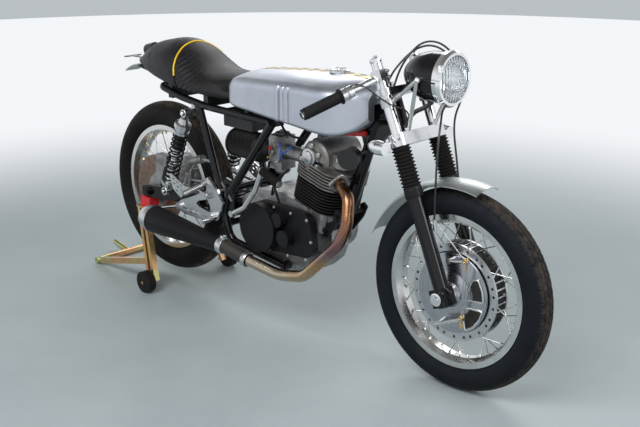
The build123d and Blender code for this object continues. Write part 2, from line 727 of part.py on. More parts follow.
with BuildPart() as frame_cradle:
    for side in (-1, 1):
        tube(
            [
                (CRADLE_FRONT_X, side * CRADLE_Y, CRADLE_Z - 12),
                (-186, side * CRADLE_Y, CRADLE_Z + 18),
                (-214, side * CRADLE_Y, 372),
                (-188, side * CRADLE_Y, 484),
            ],
            CRADLE_R,
            [52, 60],
        )
        rod(
            (CRADLE_FRONT_X - 5, side * CASE_HALF_W, CRADLE_Z - 9),
            (CRADLE_FRONT_X - 5, side * (CRADLE_Y + 12), CRADLE_Z - 9),
            LUG_R,
        )
    rod((-194, -CRADLE_Y, 466), (-194, CRADLE_Y, 466), 12.0)
    rod((-206, -CRADLE_Y, 336), (-206, CRADLE_Y, 336), 12.0)
keep(frame_cradle, "frame_cradle")

LOOP_X = -560.0
LOOP_Z = 784.0

with BuildPart() as frame_rear:
    for side in (-1, 1):
        y = side * RAIL_Y
        tube([(36, y, 744), (-300, y, 750), (-440, y, 765), (LOOP_X + 30, y, LOOP_Z)], RAIL_R, [200, 150])
        rod((44, y, 742), (-176, y, 462), 15.0)
        rod((-336, y, 748), (-226, y, 440), RAIL_R)
        plate(
            side_plane(y - 4),
            [(-150, 500), (-196, 510), (-248, 470), (-236, 400), (-212, 372), (-160, 372)],
            -8.0,
        )
    tube(
        [
            (LOOP_X + 30, -RAIL_Y, LOOP_Z),
            (LOOP_X, -RAIL_Y, LOOP_Z + 5),
            (LOOP_X, RAIL_Y, LOOP_Z + 5),
            (LOOP_X + 30, RAIL_Y, LOOP_Z),
        ],
        RAIL_R,
        [28, 28],
    )
    rod((-336, -RAIL_Y, 748), (-336, RAIL_Y, 748), 12.0)
    add(frame_backbone.part, mode=Mode.SUBTRACT)
    add(frame_cradle.part, mode=Mode.SUBTRACT)
keep(frame_rear, "frame_rear")

# Swingarm
PIVOT_R = 12.0

with BuildPart() as swingarm:
    rod((PIVOT_X, -CRADLE_Y + 20, PIVOT_Z), (PIVOT_X, CRADLE_Y - 20, PIVOT_Z), 22.0)
    for side in (-1, 1):
        plate(
            side_plane(side * ARM_Y),
            [(-262, 430), (-262, 384), (-676, 348), (-684, 360), (-684, 386), (-640, 396)],
            ARM_WIDTH / 2,
            both=True,
        )
    with Locations((-246, 0, 404)):
        Box(52, 2 * ARM_Y, 44)
    plate(
        Plane.XY.offset(386),
        [(-222, -60), (-222, 60), (-170, 66), (-170, -66)],
        36.0,
    )
    rod((REAR_AXLE_X, -ARM_Y - 30, REAR_AXLE_Z), (REAR_AXLE_X, ARM_Y + 30, REAR_AXLE_Z), AXLE_R)
    rod((REAR_AXLE_X, -ARM_Y - 26, REAR_AXLE_Z), (REAR_AXLE_X, -ARM_Y, REAR_AXLE_Z), 15.0)
    rod((REAR_AXLE_X, ARM_Y, REAR_AXLE_Z), (REAR_AXLE_X, ARM_Y + 26, REAR_AXLE_Z), 15.0)
    for side in (-1, 1):
        rod((REAR_AXLE_X, side * (REAR_HUB_HALF_W + 5), REAR_AXLE_Z), (REAR_AXLE_X, side * ARM_Y, REAR_AXLE_Z), 14.0)
        rod((SHOCK_FOOT[0], side * ARM_Y, SHOCK_FOOT[1]), (SHOCK_FOOT[0], side * (SHOCK_Y + 16), SHOCK_FOOT[1]), 8.0)
    add(frame_cradle.part, mode=Mode.SUBTRACT)
    add(frame_rear.part, mode=Mode.SUBTRACT)
keep(swingarm, "swingarm")

with BuildPart() as shock_absorbers:
    for side in (-1, 1):
        foot = Vector(SHOCK_FOOT[0], side * SHOCK_Y, SHOCK_FOOT[1])
        top = Vector(SHOCK_TOP[0], side * SHOCK_Y, SHOCK_TOP[1])
        along = (top - foot).normalized()
        length = (top - foot).length
        across = Vector(0, 1, 0).cross(along)
        with BuildSketch(Plane(origin=foot, x_dir=across, z_dir=across.cross(along))):
            with BuildLine():
                coils = []
                turns = 9
                low, high = 58.0, length - 62.0
                step = (high - low) / turns
                for turn in range(turns):
                    coils.append((27.0, low + (turn + 0.5) * step))
                    coils.append((22.0, low + (turn + 1) * step))
                Polyline(
                    (0, 16), (14, 16), (20, 40), (29, 44), (29, low - 4), (22, low), *coils,
                    (29, high + 2), (29, high + 18), (18, high + 26), (14, length - 16), (0, length - 16),
                    close=True,
                )
            make_face()
        revolve(axis=Axis(foot, along))
        for end in (foot, top):
            rod(end - Vector(0, 14, 0), end + Vector(0, 14, 0), 17.0)
            rod(end - Vector(0, 15, 0), end + Vector(0, 15, 0), 8.0, mode=Mode.SUBTRACT)
keep(shock_absorbers, "shock_absorbers")

with BuildPart() as shock_mounts:
    for side in (-1, 1):
        rod((SHOCK_TOP[0], side * RAIL_Y, SHOCK_TOP[1] + 20), (SHOCK_TOP[0], side * (RAIL_Y + 2), SHOCK_TOP[1] + 20), 8.0)
        rod((SHOCK_TOP[0], side * (RAIL_Y + 4), SHOCK_TOP[1]), (SHOCK_TOP[0], side * (SHOCK_Y + 18), SHOCK_TOP[1]), 8.0)
        rod((SHOCK_TOP[0], side * (RAIL_Y - 4), SHOCK_TOP[1]), (SHOCK_TOP[0], side * (SHOCK_Y - 16), SHOCK_TOP[1]), 16.0)
        rod((SHOCK_TOP[0], side * (RAIL_Y + 2), SHOCK_TOP[1]), (SHOCK_TOP[0], side * (RAIL_Y + 2), SHOCK_TOP[1] + 30), 10.0)
    add(frame_rear.part, mode=Mode.SUBTRACT)
keep(shock_mounts, "shock_mounts")

# Fuel tank: sections from the seat to the nose
TANK_SECTIONS = (
    # x, half width, low, shoulder, high, top corner
    (-160.0, 118.0, 786.0, 852.0, 874.0, 30.0),
    (-136.0, 136.0, 781.0, 868.0, 888.0, 34.0),
    (-60.0, 146.0, 776.0, 878.0, 902.0, 36.0),
    (90.0, 148.0, 765.0, 884.0, 917.0, 36.0),
    (240.0, 146.0, 753.0, 886.0, 926.0, 36.0),
    (340.0, 134.0, 751.0, 884.0, 928.0, 34.0),
    (408.0, 97.0, 776.0, 876.0, 918.0, 30.0),
    (434.0, 66.0, 802.0, 866.0, 902.0, 24.0),
)
TANK_FOOT_CORNER = 12.0
TUNNEL_HALF_W = 38.0
TUNNEL_TOP = 852.0
NOSE_NOTCH_R = 38.0
CREASE_FOOT = Vector(338, 0, 752)
CREASE_TOP = Vector(446, 0, 852)
SCOOP_R = 172.0
SCOOP_AHEAD = 150.0
SCOOP_Y = 230.0

with BuildPart() as fuel_tank:
    for x, half_w, low, shoulder, high, corner in TANK_SECTIONS:
        add(crowned_section(row_plane(x, 0), half_w, low, shoulder, high, corner, TANK_FOOT_CORNER))
    loft()
    with Locations((100, 0, (700 + TUNNEL_TOP) / 2)):
        Box(900, 2 * TUNNEL_HALF_W, TUNNEL_TOP - 700, mode=Mode.SUBTRACT)
    rod(
        on_fork(-YOKE_OFFSET, 0, UPPER_YOKE_Z - 60),
        on_fork(-YOKE_OFFSET, 0, UPPER_YOKE_Z + 90),
        NOSE_NOTCH_R,
        mode=Mode.SUBTRACT,
    )
    crease = (CREASE_TOP - CREASE_FOOT).normalized()
    ahead = crease.cross(Vector(0, 1, 0)) * -1
    for side in (-1, 1):
        centre = CREASE_FOOT + ahead * SCOOP_AHEAD + Vector(0, side * SCOOP_Y, 0)
        rod(centre - crease * 200, centre + crease * 400, SCOOP_R, mode=Mode.SUBTRACT)
keep(fuel_tank, "fuel_tank")

FILLER = Plane(origin=(249, 0, 929), x_dir=(1, 0, 0), z_dir=(0, 0, 1))

with BuildPart() as filler_cap:
    with BuildSketch(FILLER.offset(-4)):
        Circle(34)
    extrude(amount=16)
    fillet(filler_cap.faces().sort_by(Axis.Z)[-1].edges(), 4)
    add(fuel_tank.part, mode=Mode.SUBTRACT)
keep(filler_cap, "filler_cap")

# Seat: sections from the tank to the tail
SEAT_SECTIONS = (
    # x, half width, low, shoulder, high, top corner
    (-160.0, 100.0, 788.0, 822.0, 850.0, 18.0),
    (-230.0, 124.0, 790.0, 826.0, 857.0, 26.0),
    (-300.0, 136.0, 793.0, 830.0, 862.0, 32.0),
    (-400.0, 140.0, 799.0, 842.0, 896.0, 42.0),
    (-480.0, 138.0, 808.0, 862.0, 942.0, 54.0),
    (-560.0, 130.0, 820.0, 868.0, 949.0, 56.0),
    (-650.0, 108.0, 834.0, 872.0, 931.0, 46.0),
    (-720.0, 80.0, 845.0, 866.0, 901.0, 26.0),
    (-768.0, 52.0, 848.0, 860.0, 868.0, 4.0),
)
SEAT_FOOT_CORNER = 5.0
SEAT_BASE_THICKNESS = 6.0
SEAT_BASE_HALF_W = 92.0

with BuildPart() as seat_pad:
    for x, half_w, low, shoulder, high, corner in SEAT_SECTIONS:
        add(crowned_section(row_plane(x, 0), half_w, low, shoulder, high, corner, SEAT_FOOT_CORNER))
    loft()
    add(fuel_tank.part, mode=Mode.SUBTRACT)
keep(seat_pad, "seat_pad")

with BuildPart() as seat_base:
    with BuildSketch(Plane.XZ):
        with BuildLine():
            foot_line = [(x, low) for x, _, low, *_ in SEAT_SECTIONS[1:-1]]
            Polyline(
                *[(x, low + 1) for x, low in foot_line],
                *[(x, low - SEAT_BASE_THICKNESS) for x, low in reversed(foot_line)],
                close=True,
            )
        make_face()
    extrude(amount=SEAT_BASE_HALF_W, both=True)
    for x in (-300, -500):
        with Locations((x, 0, 752)):
            Box(24, 2 * RAIL_Y, 50, align=(Align.CENTER, Align.CENTER, Align.MIN))
    add(seat_pad.part, mode=Mode.SUBTRACT)
    add(frame_rear.part, mode=Mode.SUBTRACT)
    add(fuel_tank.part, mode=Mode.SUBTRACT)
keep(seat_base, "seat_base")

# Engine
TUBE_CLEARANCE = 6.0
PORT_FACE = Vector(300, -56, 580)
PORT_ALONG = Vector(0.86, -0.36, -0.36).normalized()
FLANGE_R = 27.0
INTAKE_FACE = Vector(112, -28, 628)
CASE_OUTLINE = (
    (-142, 345), (-138, 452), (-60, 492), (60, 505), (190, 476), (206, 440), (206, 340), (176, 262), (-92, 258),
)
CASE_MIDDLE_HALF_W = 40.0
CASE_MIDDLE = ((100, 480), (236, 458), (252, 410), (256, 335), (236, 288), (186, 246), (110, 210), (40, 198), (-40, 210), (-74, 262))
COVER_DISCS = (
    # x, z, radius, outer y
    (0.0, 379.0, 86.0, -150.0),
    (95.0, 425.0, 40.0, -146.0),
    (124.0, 366.0, 46.0, -146.0),
    (190.0, 430.0, 34.0, -132.0),
)

with BuildPart() as crankcase:
    plate(side_plane(CASE_HALF_W), CASE_OUTLINE, 2 * CASE_HALF_W, corner=22)
    plate(side_plane(CASE_MIDDLE_HALF_W), CASE_MIDDLE, 2 * CASE_MIDDLE_HALF_W, corner=8)
    with BuildSketch(CYLINDER.offset(-70)):
        RectangleRounded(148, 160, 24)
    extrude(amount=70)
    rod(DOWNTUBE_TOP, DOWNTUBE_FOOT, DOWNTUBE_R + 3, mode=Mode.SUBTRACT)
    add(frame_cradle.part, mode=Mode.SUBTRACT)
    with BuildSketch(side_plane(CASE_HALF_W + 34)):
        with Locations((150, 372)):
            Circle(80)
        with Locations((20, 388)):
            Circle(58)
        make_hull()
    extrude(amount=40)
    fillet(crankcase.faces().sort_by(Axis.Y)[-1].edges(), 12)
keep(crankcase, "crankcase")

with BuildPart() as clutch_cover:
    with BuildSketch(side_plane(-CASE_HALF_W)):
        for x, z, radius, _ in COVER_DISCS:
            with Locations((x, z)):
                Circle(radius)
        with Locations((200, 350)):
            Circle(40)
        make_hull()
    extrude(amount=26)
    for x, z, radius, outer in COVER_DISCS[:3]:
        with BuildSketch(side_plane(-CASE_HALF_W - 26)):
            with Locations((x, z)):
                Circle(radius if radius > 60 else radius * 0.62)
        extrude(amount=-outer - CASE_HALF_W - 26)
    add(crankcase.part, mode=Mode.SUBTRACT)
keep(clutch_cover, "clutch_cover")

with BuildPart() as cylinder_barrel:
    with BuildSketch(CYLINDER):
        Circle(66)
    extrude(amount=BARREL_HEIGHT)
    fins = int(BARREL_HEIGHT / FIN_PITCH)
    for number in range(fins):
        with BuildSketch(CYLINDER.offset(6 + number * FIN_PITCH)):
            RectangleRounded(2 * FIN_HALF - 8, 2 * FIN_HALF - 8, FIN_CORNER)
        extrude(amount=FIN_THICKNESS)
    rod(DOWNTUBE_TOP, DOWNTUBE_FOOT, DOWNTUBE_R + TUBE_CLEARANCE, mode=Mode.SUBTRACT)
keep(cylinder_barrel, "cylinder")

with BuildPart() as cylinder_head:
    with BuildSketch(CYLINDER.offset(BARREL_HEIGHT)):
        Circle(70)
    extrude(amount=HEAD_HEIGHT)
    fins = int(HEAD_HEIGHT / FIN_PITCH)
    for number in range(fins):
        with BuildSketch(CYLINDER.offset(BARREL_HEIGHT + number * FIN_PITCH)):
            RectangleRounded(2 * FIN_HALF, 2 * FIN_HALF, FIN_CORNER)
        extrude(amount=FIN_THICKNESS)
    rod(PORT_FACE - PORT_ALONG * 60, PORT_FACE, FLANGE_R)
    rod(PORT_FACE, PORT_FACE + PORT_ALONG * 60, FLANGE_R + 6, mode=Mode.SUBTRACT)
    rod(INTAKE_FACE + Vector(60, 0, 0), INTAKE_FACE, 26.0)
    rod(INTAKE_FACE, INTAKE_FACE - Vector(60, 0, 0), 34.0, mode=Mode.SUBTRACT)
    rod(DOWNTUBE_TOP, DOWNTUBE_FOOT, DOWNTUBE_R + TUBE_CLEARANCE, mode=Mode.SUBTRACT)
keep(cylinder_head, "cylinder_head")

ENGINE_PLATE_Y = 62.0
ENGINE_PLATE = ((320, 476), (304, 490), (291, 482), (286, 450), (240, 424), (228, 404), (234, 386), (256, 382), (302, 438))
ENGINE_BOLTS = ((299, 463), (251, 406))

with BuildPart() as engine_plates:
    for side in (-1, 1):
        plate(side_plane(side * ENGINE_PLATE_Y), ENGINE_PLATE, 4.0, both=True, corner=3)
    for x, z in ENGINE_BOLTS:
        rod((x, -ENGINE_PLATE_Y - 12, z), (x, ENGINE_PLATE_Y + 12, z), 8.0)
    add(frame_backbone.part, mode=Mode.SUBTRACT)
    add(crankcase.part, mode=Mode.SUBTRACT)
    add(cylinder_barrel.part, mode=Mode.SUBTRACT)
keep(engine_plates, "engine_plates")

CAM_X = -18.0
CAM_HOUSING_R = 60.0
CAM_HALF_W = 86.0
ROCKER_SEAT = BARREL_HEIGHT + HEAD_HEIGHT


def on_cylinder(x, y, z):
    """Row position of a point given in the cylinder's own plane."""
    return CYLINDER.from_local_coords((x, y, z))


with BuildPart() as rocker_cover:
    rod(on_cylinder(CAM_X, -CAM_HALF_W, ROCKER_SEAT), on_cylinder(CAM_X, CAM_HALF_W, ROCKER_SEAT), CAM_HOUSING_R)
    chamfer(rocker_cover.edges().filter_by(GeomType.CIRCLE), 7)
    with BuildSketch(CYLINDER.offset(ROCKER_SEAT)):
        RectangleRounded(176, 128, 34)
    extrude(amount=36, taper=10)
    for x, y in ((58, -34), (58, 34), (-70, 0)):
        rod(on_cylinder(x, y, ROCKER_SEAT + 20), on_cylinder(x, y, ROCKER_SEAT + 46), 23.0)
    rod(on_cylinder(CAM_X, -CAM_HALF_W - 7, ROCKER_SEAT - 4), on_cylinder(CAM_X, -CAM_HALF_W + 4, ROCKER_SEAT - 4), 25.0)
    with BuildSketch(CYLINDER.offset(ROCKER_SEAT)):
        Rectangle(300, 300)
    extrude(amount=-90, mode=Mode.SUBTRACT)
keep(rocker_cover, "rocker_cover")

# Intake
with BuildPart() as carburettor:
    rod(INTAKE_FACE, (40, -28, 632), 24.0)
    rod((44, -28, 632), (-40, -28, 622), 27.0)
    with Locations((4, -28, 628)):
        Box(62, 66, 116)
    rod((4, -28, 560), (4, -28, 690), 26.0)
    add(cylinder_head.part, mode=Mode.SUBTRACT)
keep(carburettor, "carburettor")

with BuildPart() as air_filter:
    rod((-40, -28, 622), (-92, -28, 620), 31.0)
    rod((-92, -28, 620), (-240, -28, 620), 52.0)
    add(carburettor.part, mode=Mode.SUBTRACT)
keep(air_filter, "air_filter")

with BuildPart() as horn:
    rod((352, -52, 676), (372, -90, 676), 34.0)
    rod((352, -52, 676), (384, -14, 690), 7.0)
    add(frame_backbone.part, mode=Mode.SUBTRACT)
keep(horn, "horn")

with BuildPart() as electrics_tray:
    with Locations((-170, 0, 715)):
        Box(150, 150, 60)
    add(frame_rear.part, mode=Mode.SUBTRACT)
    add(frame_backbone.part, mode=Mode.SUBTRACT)
    add(air_filter.part, mode=Mode.SUBTRACT)
keep(electrics_tray, "electrics_tray")

# Exhaust
PIPE_R = 20.0
HEADER_POINTS = (
    PORT_FACE + PORT_ALONG * 4,
    PORT_FACE + PORT_ALONG * 84,
    (396, -118, 470),
    (380, -138, 404),
    (232, -150, 262),
    (120, -154, 238),
    (-20, -172, 262),
    (-140, -180, 286),
)

with BuildPart() as exhaust_header:
    tube(HEADER_POINTS, PIPE_R, [40, 60, 70, 80, 150, 150])
    rod(PORT_FACE, PORT_FACE + PORT_ALONG * 9, FLANGE_R)
keep(exhaust_header, "exhaust_header")

MUFFLER_AXIS = ((-140.0, -180.0, 286.0), (-575.0, -192.0, 303.0))

with BuildPart() as muffler:
    front = Vector(*MUFFLER_AXIS[0])
    back = Vector(*MUFFLER_AXIS[1])
    along = (back - front).normalized()
    run = (back - front).length
    with BuildSketch(Plane(origin=front, x_dir=along, z_dir=Vector(0, 1, 0))):
        with BuildLine():
            Polyline((0, 0), (0, 24), (16, 26), (run - 110, 49), (run - 42, 51), (run, 38), (run, 26), (run - 30, 26), (run - 30, 0), close=True)
        make_face()
    revolve(axis=Axis(front, along))
    add(exhaust_header.part, mode=Mode.SUBTRACT)
keep(muffler, "muffler")

# Controls on the frame
with BuildPart() as kick_lever:
    rod((-79, -95, 420), (-79, -196, 420), 11.0)
    tube([(-79, -186, 420), (-20, -186, 452), (44, -190, 528), (84, -192, 612)], 8.5, [60, 60])
    rod((78, -192, 604), (172, -198, 574), 12.0)
    add(clutch_cover.part, mode=Mode.SUBTRACT)
    add(crankcase.part, mode=Mode.SUBTRACT)
keep(kick_lever, "kick_lever")

HANGER_PLATE = ((-204, 388), (-190, 420), (-236, 474), (-270, 502), (-290, 488), (-278, 456), (-286, 432), (-262, 400), (-256, 350), (-230, 348))
PEG_ARM = (
    (-256, 444), (-280, 448), (-330, 424), (-372, 406), (-410, 392), (-430, 376), (-430, 358), (-410, 350), (-360, 368),
    (-330, 366), (-246, 348), (-230, 362), (-240, 378), (-308, 388), (-322, 398), (-308, 410), (-262, 424),
)
HEEL_GUARD = ((-431, 494), (-419, 496), (-344, 464), (-310, 462), (-306, 448), (-338, 446), (-366, 416), (-378, 420), (-412, 440))
GUARD_SLOTS = ((-408, 479), (-386, 470), (-364, 461), (-404, 463), (-382, 454), (-360, 445), (-388, 438))
PEG_PIVOT = (-416.0, 366.0)

with BuildPart() as rearsets:
    for side in (-1, 1):
        plate(side_plane(side * 132), HANGER_PLATE, 5.0, both=True)
        plate(side_plane(side * 144), PEG_ARM, 7.0, both=True)
        for x, z in ((-218, 415), (-222, 456)):
            rod((x, side * 110, z), (x, side * 128, z), 9.0)
        for x, z in ((-268, 434), (-243, 363)):
            rod((x, side * 128, z), (x, side * 154, z), 11.0)
        rod((-300, side * 134, 468), (-322, side * 208, 444), 9.5)
        rod((-300, side * 134, 468), (-268, side * 134, 486), 10.0)
        plate(side_plane(side * 182), HEEL_GUARD, 2.0, both=True)
        for x, z in GUARD_SLOTS:
            with BuildSketch(side_plane(side * 182 - 6)):
                with Locations((x, z)):
                    SlotOverall(13, 4.5, rotation=-24)
            extrude(amount=-12, mode=Mode.SUBTRACT)
        rod((PEG_PIVOT[0], side * 134, PEG_PIVOT[1]), (PEG_PIVOT[0], side * 162, PEG_PIVOT[1]), 14.0)
        rod((PEG_PIVOT[0], side * 148, PEG_PIVOT[1]), (-552, side * 140, 327), 6.0)
        beam((PEG_PIVOT[0], side * 157, PEG_PIVOT[1]), (-372, side * 157, 353), 8.0, 15.0)
        beam((-380, side * 157, 354), (-238, side * 157, 352), 8.0, 12.0)
        rod((-244, side * 154, 352), (-244, side * 190, 352), 7.0)
    add(frame_rear.part, mode=Mode.SUBTRACT)
    add(frame_cradle.part, mode=Mode.SUBTRACT)
    add(swingarm.part, mode=Mode.SUBTRACT)
    add(muffler.part, mode=Mode.SUBTRACT)
keep(rearsets, "rearsets")

with BuildPart() as rear_brake:
    with Locations((-596, DISC_Y - 4, 494)):
        Box(64, 34, 46)
    with Locations((-596, DISC_Y, 480)):
        Box(80, DISC_THICKNESS + 8, 60, mode=Mode.SUBTRACT)
    plate(
        side_plane(DISC_Y - 16),
        [(-660, 371), (-620, 371), (-575, 478), (-617, 490)],
        6.0,
    )
    rod((REAR_AXLE_X, DISC_Y - 10, REAR_AXLE_Z), (REAR_AXLE_X, DISC_Y - 30, REAR_AXLE_Z), 24.0, mode=Mode.SUBTRACT)
    rod((-388, -120, 535), (-312, -120, 559), 15.0)
    rod((-316, -120, 556), (-262, -112, 553), 5.0)
    rod((-394, -126, 452), (-384, -126, 500), 18.0)
    rod((-386, -130, 470), (-280, -132, 480), 5.0)
    rod((-384, -126, 496), (-352, -120, 540), 4.0)
    add(swingarm.part, mode=Mode.SUBTRACT)
    add(rear_hub.part, mode=Mode.SUBTRACT)
    add(frame_rear.part, mode=Mode.SUBTRACT)
    add(rearsets.part, mode=Mode.SUBTRACT)
keep(rear_brake, "rear_brake")

# Chain: a fixed loop round both sprockets
FRONT_SPROCKET = (-110.0, 392.0, 36.0)
CHAIN_HEIGHT = 12.0
CHAIN_WIDTH = 14.0

with BuildPart() as drive_chain:
    for grow, mode in ((CHAIN_GAP + CHAIN_HEIGHT, Mode.ADD), (CHAIN_GAP, Mode.SUBTRACT)):
        with BuildSketch(side_plane(SPROCKET_Y + CHAIN_WIDTH / 2)) as loop:
            with Locations((REAR_AXLE_X, REAR_AXLE_Z)):
                Circle(SPROCKET_R + grow)
            with Locations(FRONT_SPROCKET[:2]):
                Circle(FRONT_SPROCKET[2] + grow)
            make_hull()
        extrude(amount=CHAIN_WIDTH, mode=mode)
    add(crankcase.part, mode=Mode.SUBTRACT)
    add(frame_cradle.part, mode=Mode.SUBTRACT)
    add(swingarm.part, mode=Mode.SUBTRACT)
keep(drive_chain, "drive_chain")

with BuildPart() as tail_lamp:
    rod((-772, 0, 884), (-726, 0, 896), 24.0)
    add(seat_pad.part, mode=Mode.SUBTRACT)
keep(tail_lamp, "tail_lamp")

HANGER_TIP_X = -886.0
HANGER_Z = 850.0
HANGER_THICKNESS = 3.0
HANGER_HOLE_Y = 30.0
HANGER_HOLE_R = 3.2

with BuildPart() as plate_hanger:
    with BuildSketch(Plane.XY.offset(HANGER_Z)):
        with Locations((HANGER_TIP_X / 2 - 370, 0)):
            Rectangle(-HANGER_TIP_X - 740, 18)
        with Locations((HANGER_TIP_X + 9, 0)):
            SlotOverall(2 * HANGER_HOLE_Y + 20, 18, rotation=90)
        with Locations((HANGER_TIP_X + 9, -HANGER_HOLE_Y), (HANGER_TIP_X + 9, HANGER_HOLE_Y)):
            Circle(HANGER_HOLE_R, mode=Mode.SUBTRACT)
    extrude(amount=HANGER_THICKNESS)
    add(seat_pad.part, mode=Mode.SUBTRACT)
keep(plate_hanger, "plate_hanger")

TAIL_GUARD_HALF_W = 34.0

with BuildPart() as tail_guard:
    with BuildSketch(side_plane(TAIL_GUARD_HALF_W)):
        with BuildLine():
            ThreePointArc((-745, 833), (-822, 828), (-885, 797))
            Line((-885, 797), (-884, 794))
            ThreePointArc((-884, 794), (-821, 825), (-745, 830))
            Line((-745, 830), (-745, 833))
        make_face()
    extrude(amount=2 * TAIL_GUARD_HALF_W)
    add(seat_base.part, mode=Mode.SUBTRACT)
    add(seat_pad.part, mode=Mode.SUBTRACT)
keep(tail_guard, "tail_guard")

# Paddock stand
ROLLER = (-575.0, 205.0, 42.0)
ROLLER_WIDTH = 30.0
STAND_TUBE_WIDTH = 24.0
STAND_TUBE_DEPTH = 15.0

with BuildPart() as stand_frame:
    for side in (-1, 1):
        beam((ROLLER[0] + 12, side * 168, ROLLER[2] - 4), (-650, side * 140, 309), STAND_TUBE_WIDTH, STAND_TUBE_DEPTH)
        beam((ROLLER[0] - 22, side * 168, 58), (-676, side * 140, 306), STAND_TUBE_WIDTH, STAND_TUBE_DEPTH)
        rod((ROLLER[0], side * 156, ROLLER[2]), (ROLLER[0], side * 226, ROLLER[2]), 6.0)
        beam((-606, side * 164, 108), (-976, side * 150, 14), STAND_TUBE_DEPTH, STAND_TUBE_WIDTH)
        plate(
            Plane.XY.offset(306),
            [(-690, side * 96), (-690, side * 152), (-626, side * 152), (-626, side * 96)],
            8.0,
        )
    rod((-976, -162, 14), (-976, 162, 14), 14.0)
    rod((-976, 0, 14), (-1075, 0, 34), 11.0)
keep(stand_frame, "stand_frame")

with BuildPart() as stand_cups:
    for side in (-1, 1):
        with Locations((-656, side * ARM_Y, 331)):
            Box(56, 44, 34)
    add(swingarm.part, mode=Mode.SUBTRACT)
keep(stand_cups, "stand_cups")

for side, label in ((-1, "stand_roller_right"), (1, "stand_roller_left")):
    with BuildPart() as roller:
        with BuildSketch(side_plane(side * ROLLER[1])):
            with Locations((ROLLER[0], ROLLER[2])):
                Circle(ROLLER[2])
                Circle(6.5, mode=Mode.SUBTRACT)
        extrude(amount=ROLLER_WIDTH / 2, both=True)
    keep(roller, label)

# Cables, given by the corners of their routes
BRAKE_CABLE = (
    CABLE_STOP, (707, -66, 620), (706, -64, 705), (702, -55, 778), (684, -22, 836),
    (656, 18, 862), (647, 62, 874), (644, 103, 900), (626, 126, 955), (599, 114, 1012),
    (566, 72, 1042), (541, 20, 1031), (518, -20, 990), (500, -46, 947), (489, -54, 902),
)
SPEED_CABLE = (
    (771, 82, 352), (767, 75, 396), (736, 69, 478), (708, 70, 560), (686, 70, 640),
    (677, 68, 712), (671, 58, 786), (668, 64, 840), (668, 96, 885), (650, 124, 938),
    (620, 127, 998), (584, 92, 1048), (558, 36, 1054), (540, -8, 1014), (522, -32, 964),
    (509, -38, 910),
)
THROTTLE_CABLE = (
    (480, -214, 930), (492, -203, 942), (505, -186, 945), (517, -163, 933), (526, -138, 911),
    (566, -112, 880), (590, -82, 870), (589, -55, 849), (584, -46, 816), (584, -46, 794),
)
LOOM = (
    (557, -27, 783), (557, -26, 813), (570, -14, 845), (598, 2, 860), (615, 12, 873), (625, 20, 892),
)
THROTTLE_CABLE_R = 2.2
LOOM_R = 7.0

for label, points, radius, carriers in (
    ("front_brake_cable", BRAKE_CABLE, CABLE_R, (fork_yokes, brake_levers)),
    ("speed_cable", SPEED_CABLE, CABLE_R, (fork_legs, fork_yokes)),
    ("throttle_cable", THROTTLE_CABLE, THROTTLE_CABLE_R, (clip_on_bars, fork_yokes)),
    ("wiring_loom", LOOM, LOOM_R, (fork_yokes, headlight_shell)),
):
    with BuildPart() as cable:
        cord(points, radius)
        for carrier in carriers:
            add(carrier.part, mode=Mode.SUBTRACT)
    keep(cable, label)
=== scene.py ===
# %% [markdown]
# # A cafe racer on its paddock stand
# The solids come ready made as a fixed frame: wheels, fork, tank, engine and stand, all in metres,
# with +X forward, +Y to the machine's left and the floor at z = 0. This lesson gives them their looks.
# Plain solids that are already right, such as the tank, only get a finish. Tyres, springs, seat,
# pipes and chain are worked out again as surfaces, because the eye reads their fine shape first.

from math import pi, radians

import bmesh
import bpy
import numpy as np
from mathutils import Matrix


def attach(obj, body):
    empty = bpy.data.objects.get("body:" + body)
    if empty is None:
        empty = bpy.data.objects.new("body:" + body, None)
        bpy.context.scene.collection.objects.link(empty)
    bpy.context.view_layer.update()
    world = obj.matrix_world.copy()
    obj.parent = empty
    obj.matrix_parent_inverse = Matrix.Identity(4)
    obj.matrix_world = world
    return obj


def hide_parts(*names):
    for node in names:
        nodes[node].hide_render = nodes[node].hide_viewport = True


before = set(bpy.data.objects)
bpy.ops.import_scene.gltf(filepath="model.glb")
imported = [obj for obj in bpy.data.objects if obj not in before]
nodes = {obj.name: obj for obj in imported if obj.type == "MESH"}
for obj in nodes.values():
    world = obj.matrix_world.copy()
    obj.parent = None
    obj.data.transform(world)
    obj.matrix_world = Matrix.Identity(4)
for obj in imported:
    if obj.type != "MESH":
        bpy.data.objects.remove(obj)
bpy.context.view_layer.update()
scene = bpy.context.scene

# %% [markdown]
# ## Camera
# The photograph was taken from ahead of the machine's right side, with a short telephoto lens. The
# camera's place was solved from both wheels, whose size is known, so that the view matches closely.

# %% Camera at the photograph's place
lens_data = bpy.data.cameras.new("photo_view")
lens_data.lens = 61.36
lens_data.sensor_width = 36.0
camera = bpy.data.objects.new("photo_view", lens_data)
camera.location = (2.65447, -2.50246, 1.53801)
camera.rotation_euler = (pi / 2 - 0.3035348, 0.0, 0.7840844)
scene.collection.objects.link(camera)
scene.camera = camera
print("camera", tuple(camera.location))

# %% [markdown]
# ## Shapes from arrays
# Every new piece here is a grid of points: two parameters go in and a point in space comes out.
# numpy works out the whole grid at once, and the faces only join each point with its neighbours.
# Poles and seams are points that fall together, so they are merged afterwards.

# %% Grid faces and pieces


def mm(*points):
    """Points written in millimetres, as an array in metres."""
    return np.array(points, float) / 1000


def spot(x, y, z):
    """One point written in millimetres, in metres."""
    return mm((x, y, z))[0]


def unit(vector):
    """The same direction, one long."""
    vector = np.asarray(vector, float)
    return vector / np.linalg.norm(vector, axis=-1, keepdims=True)


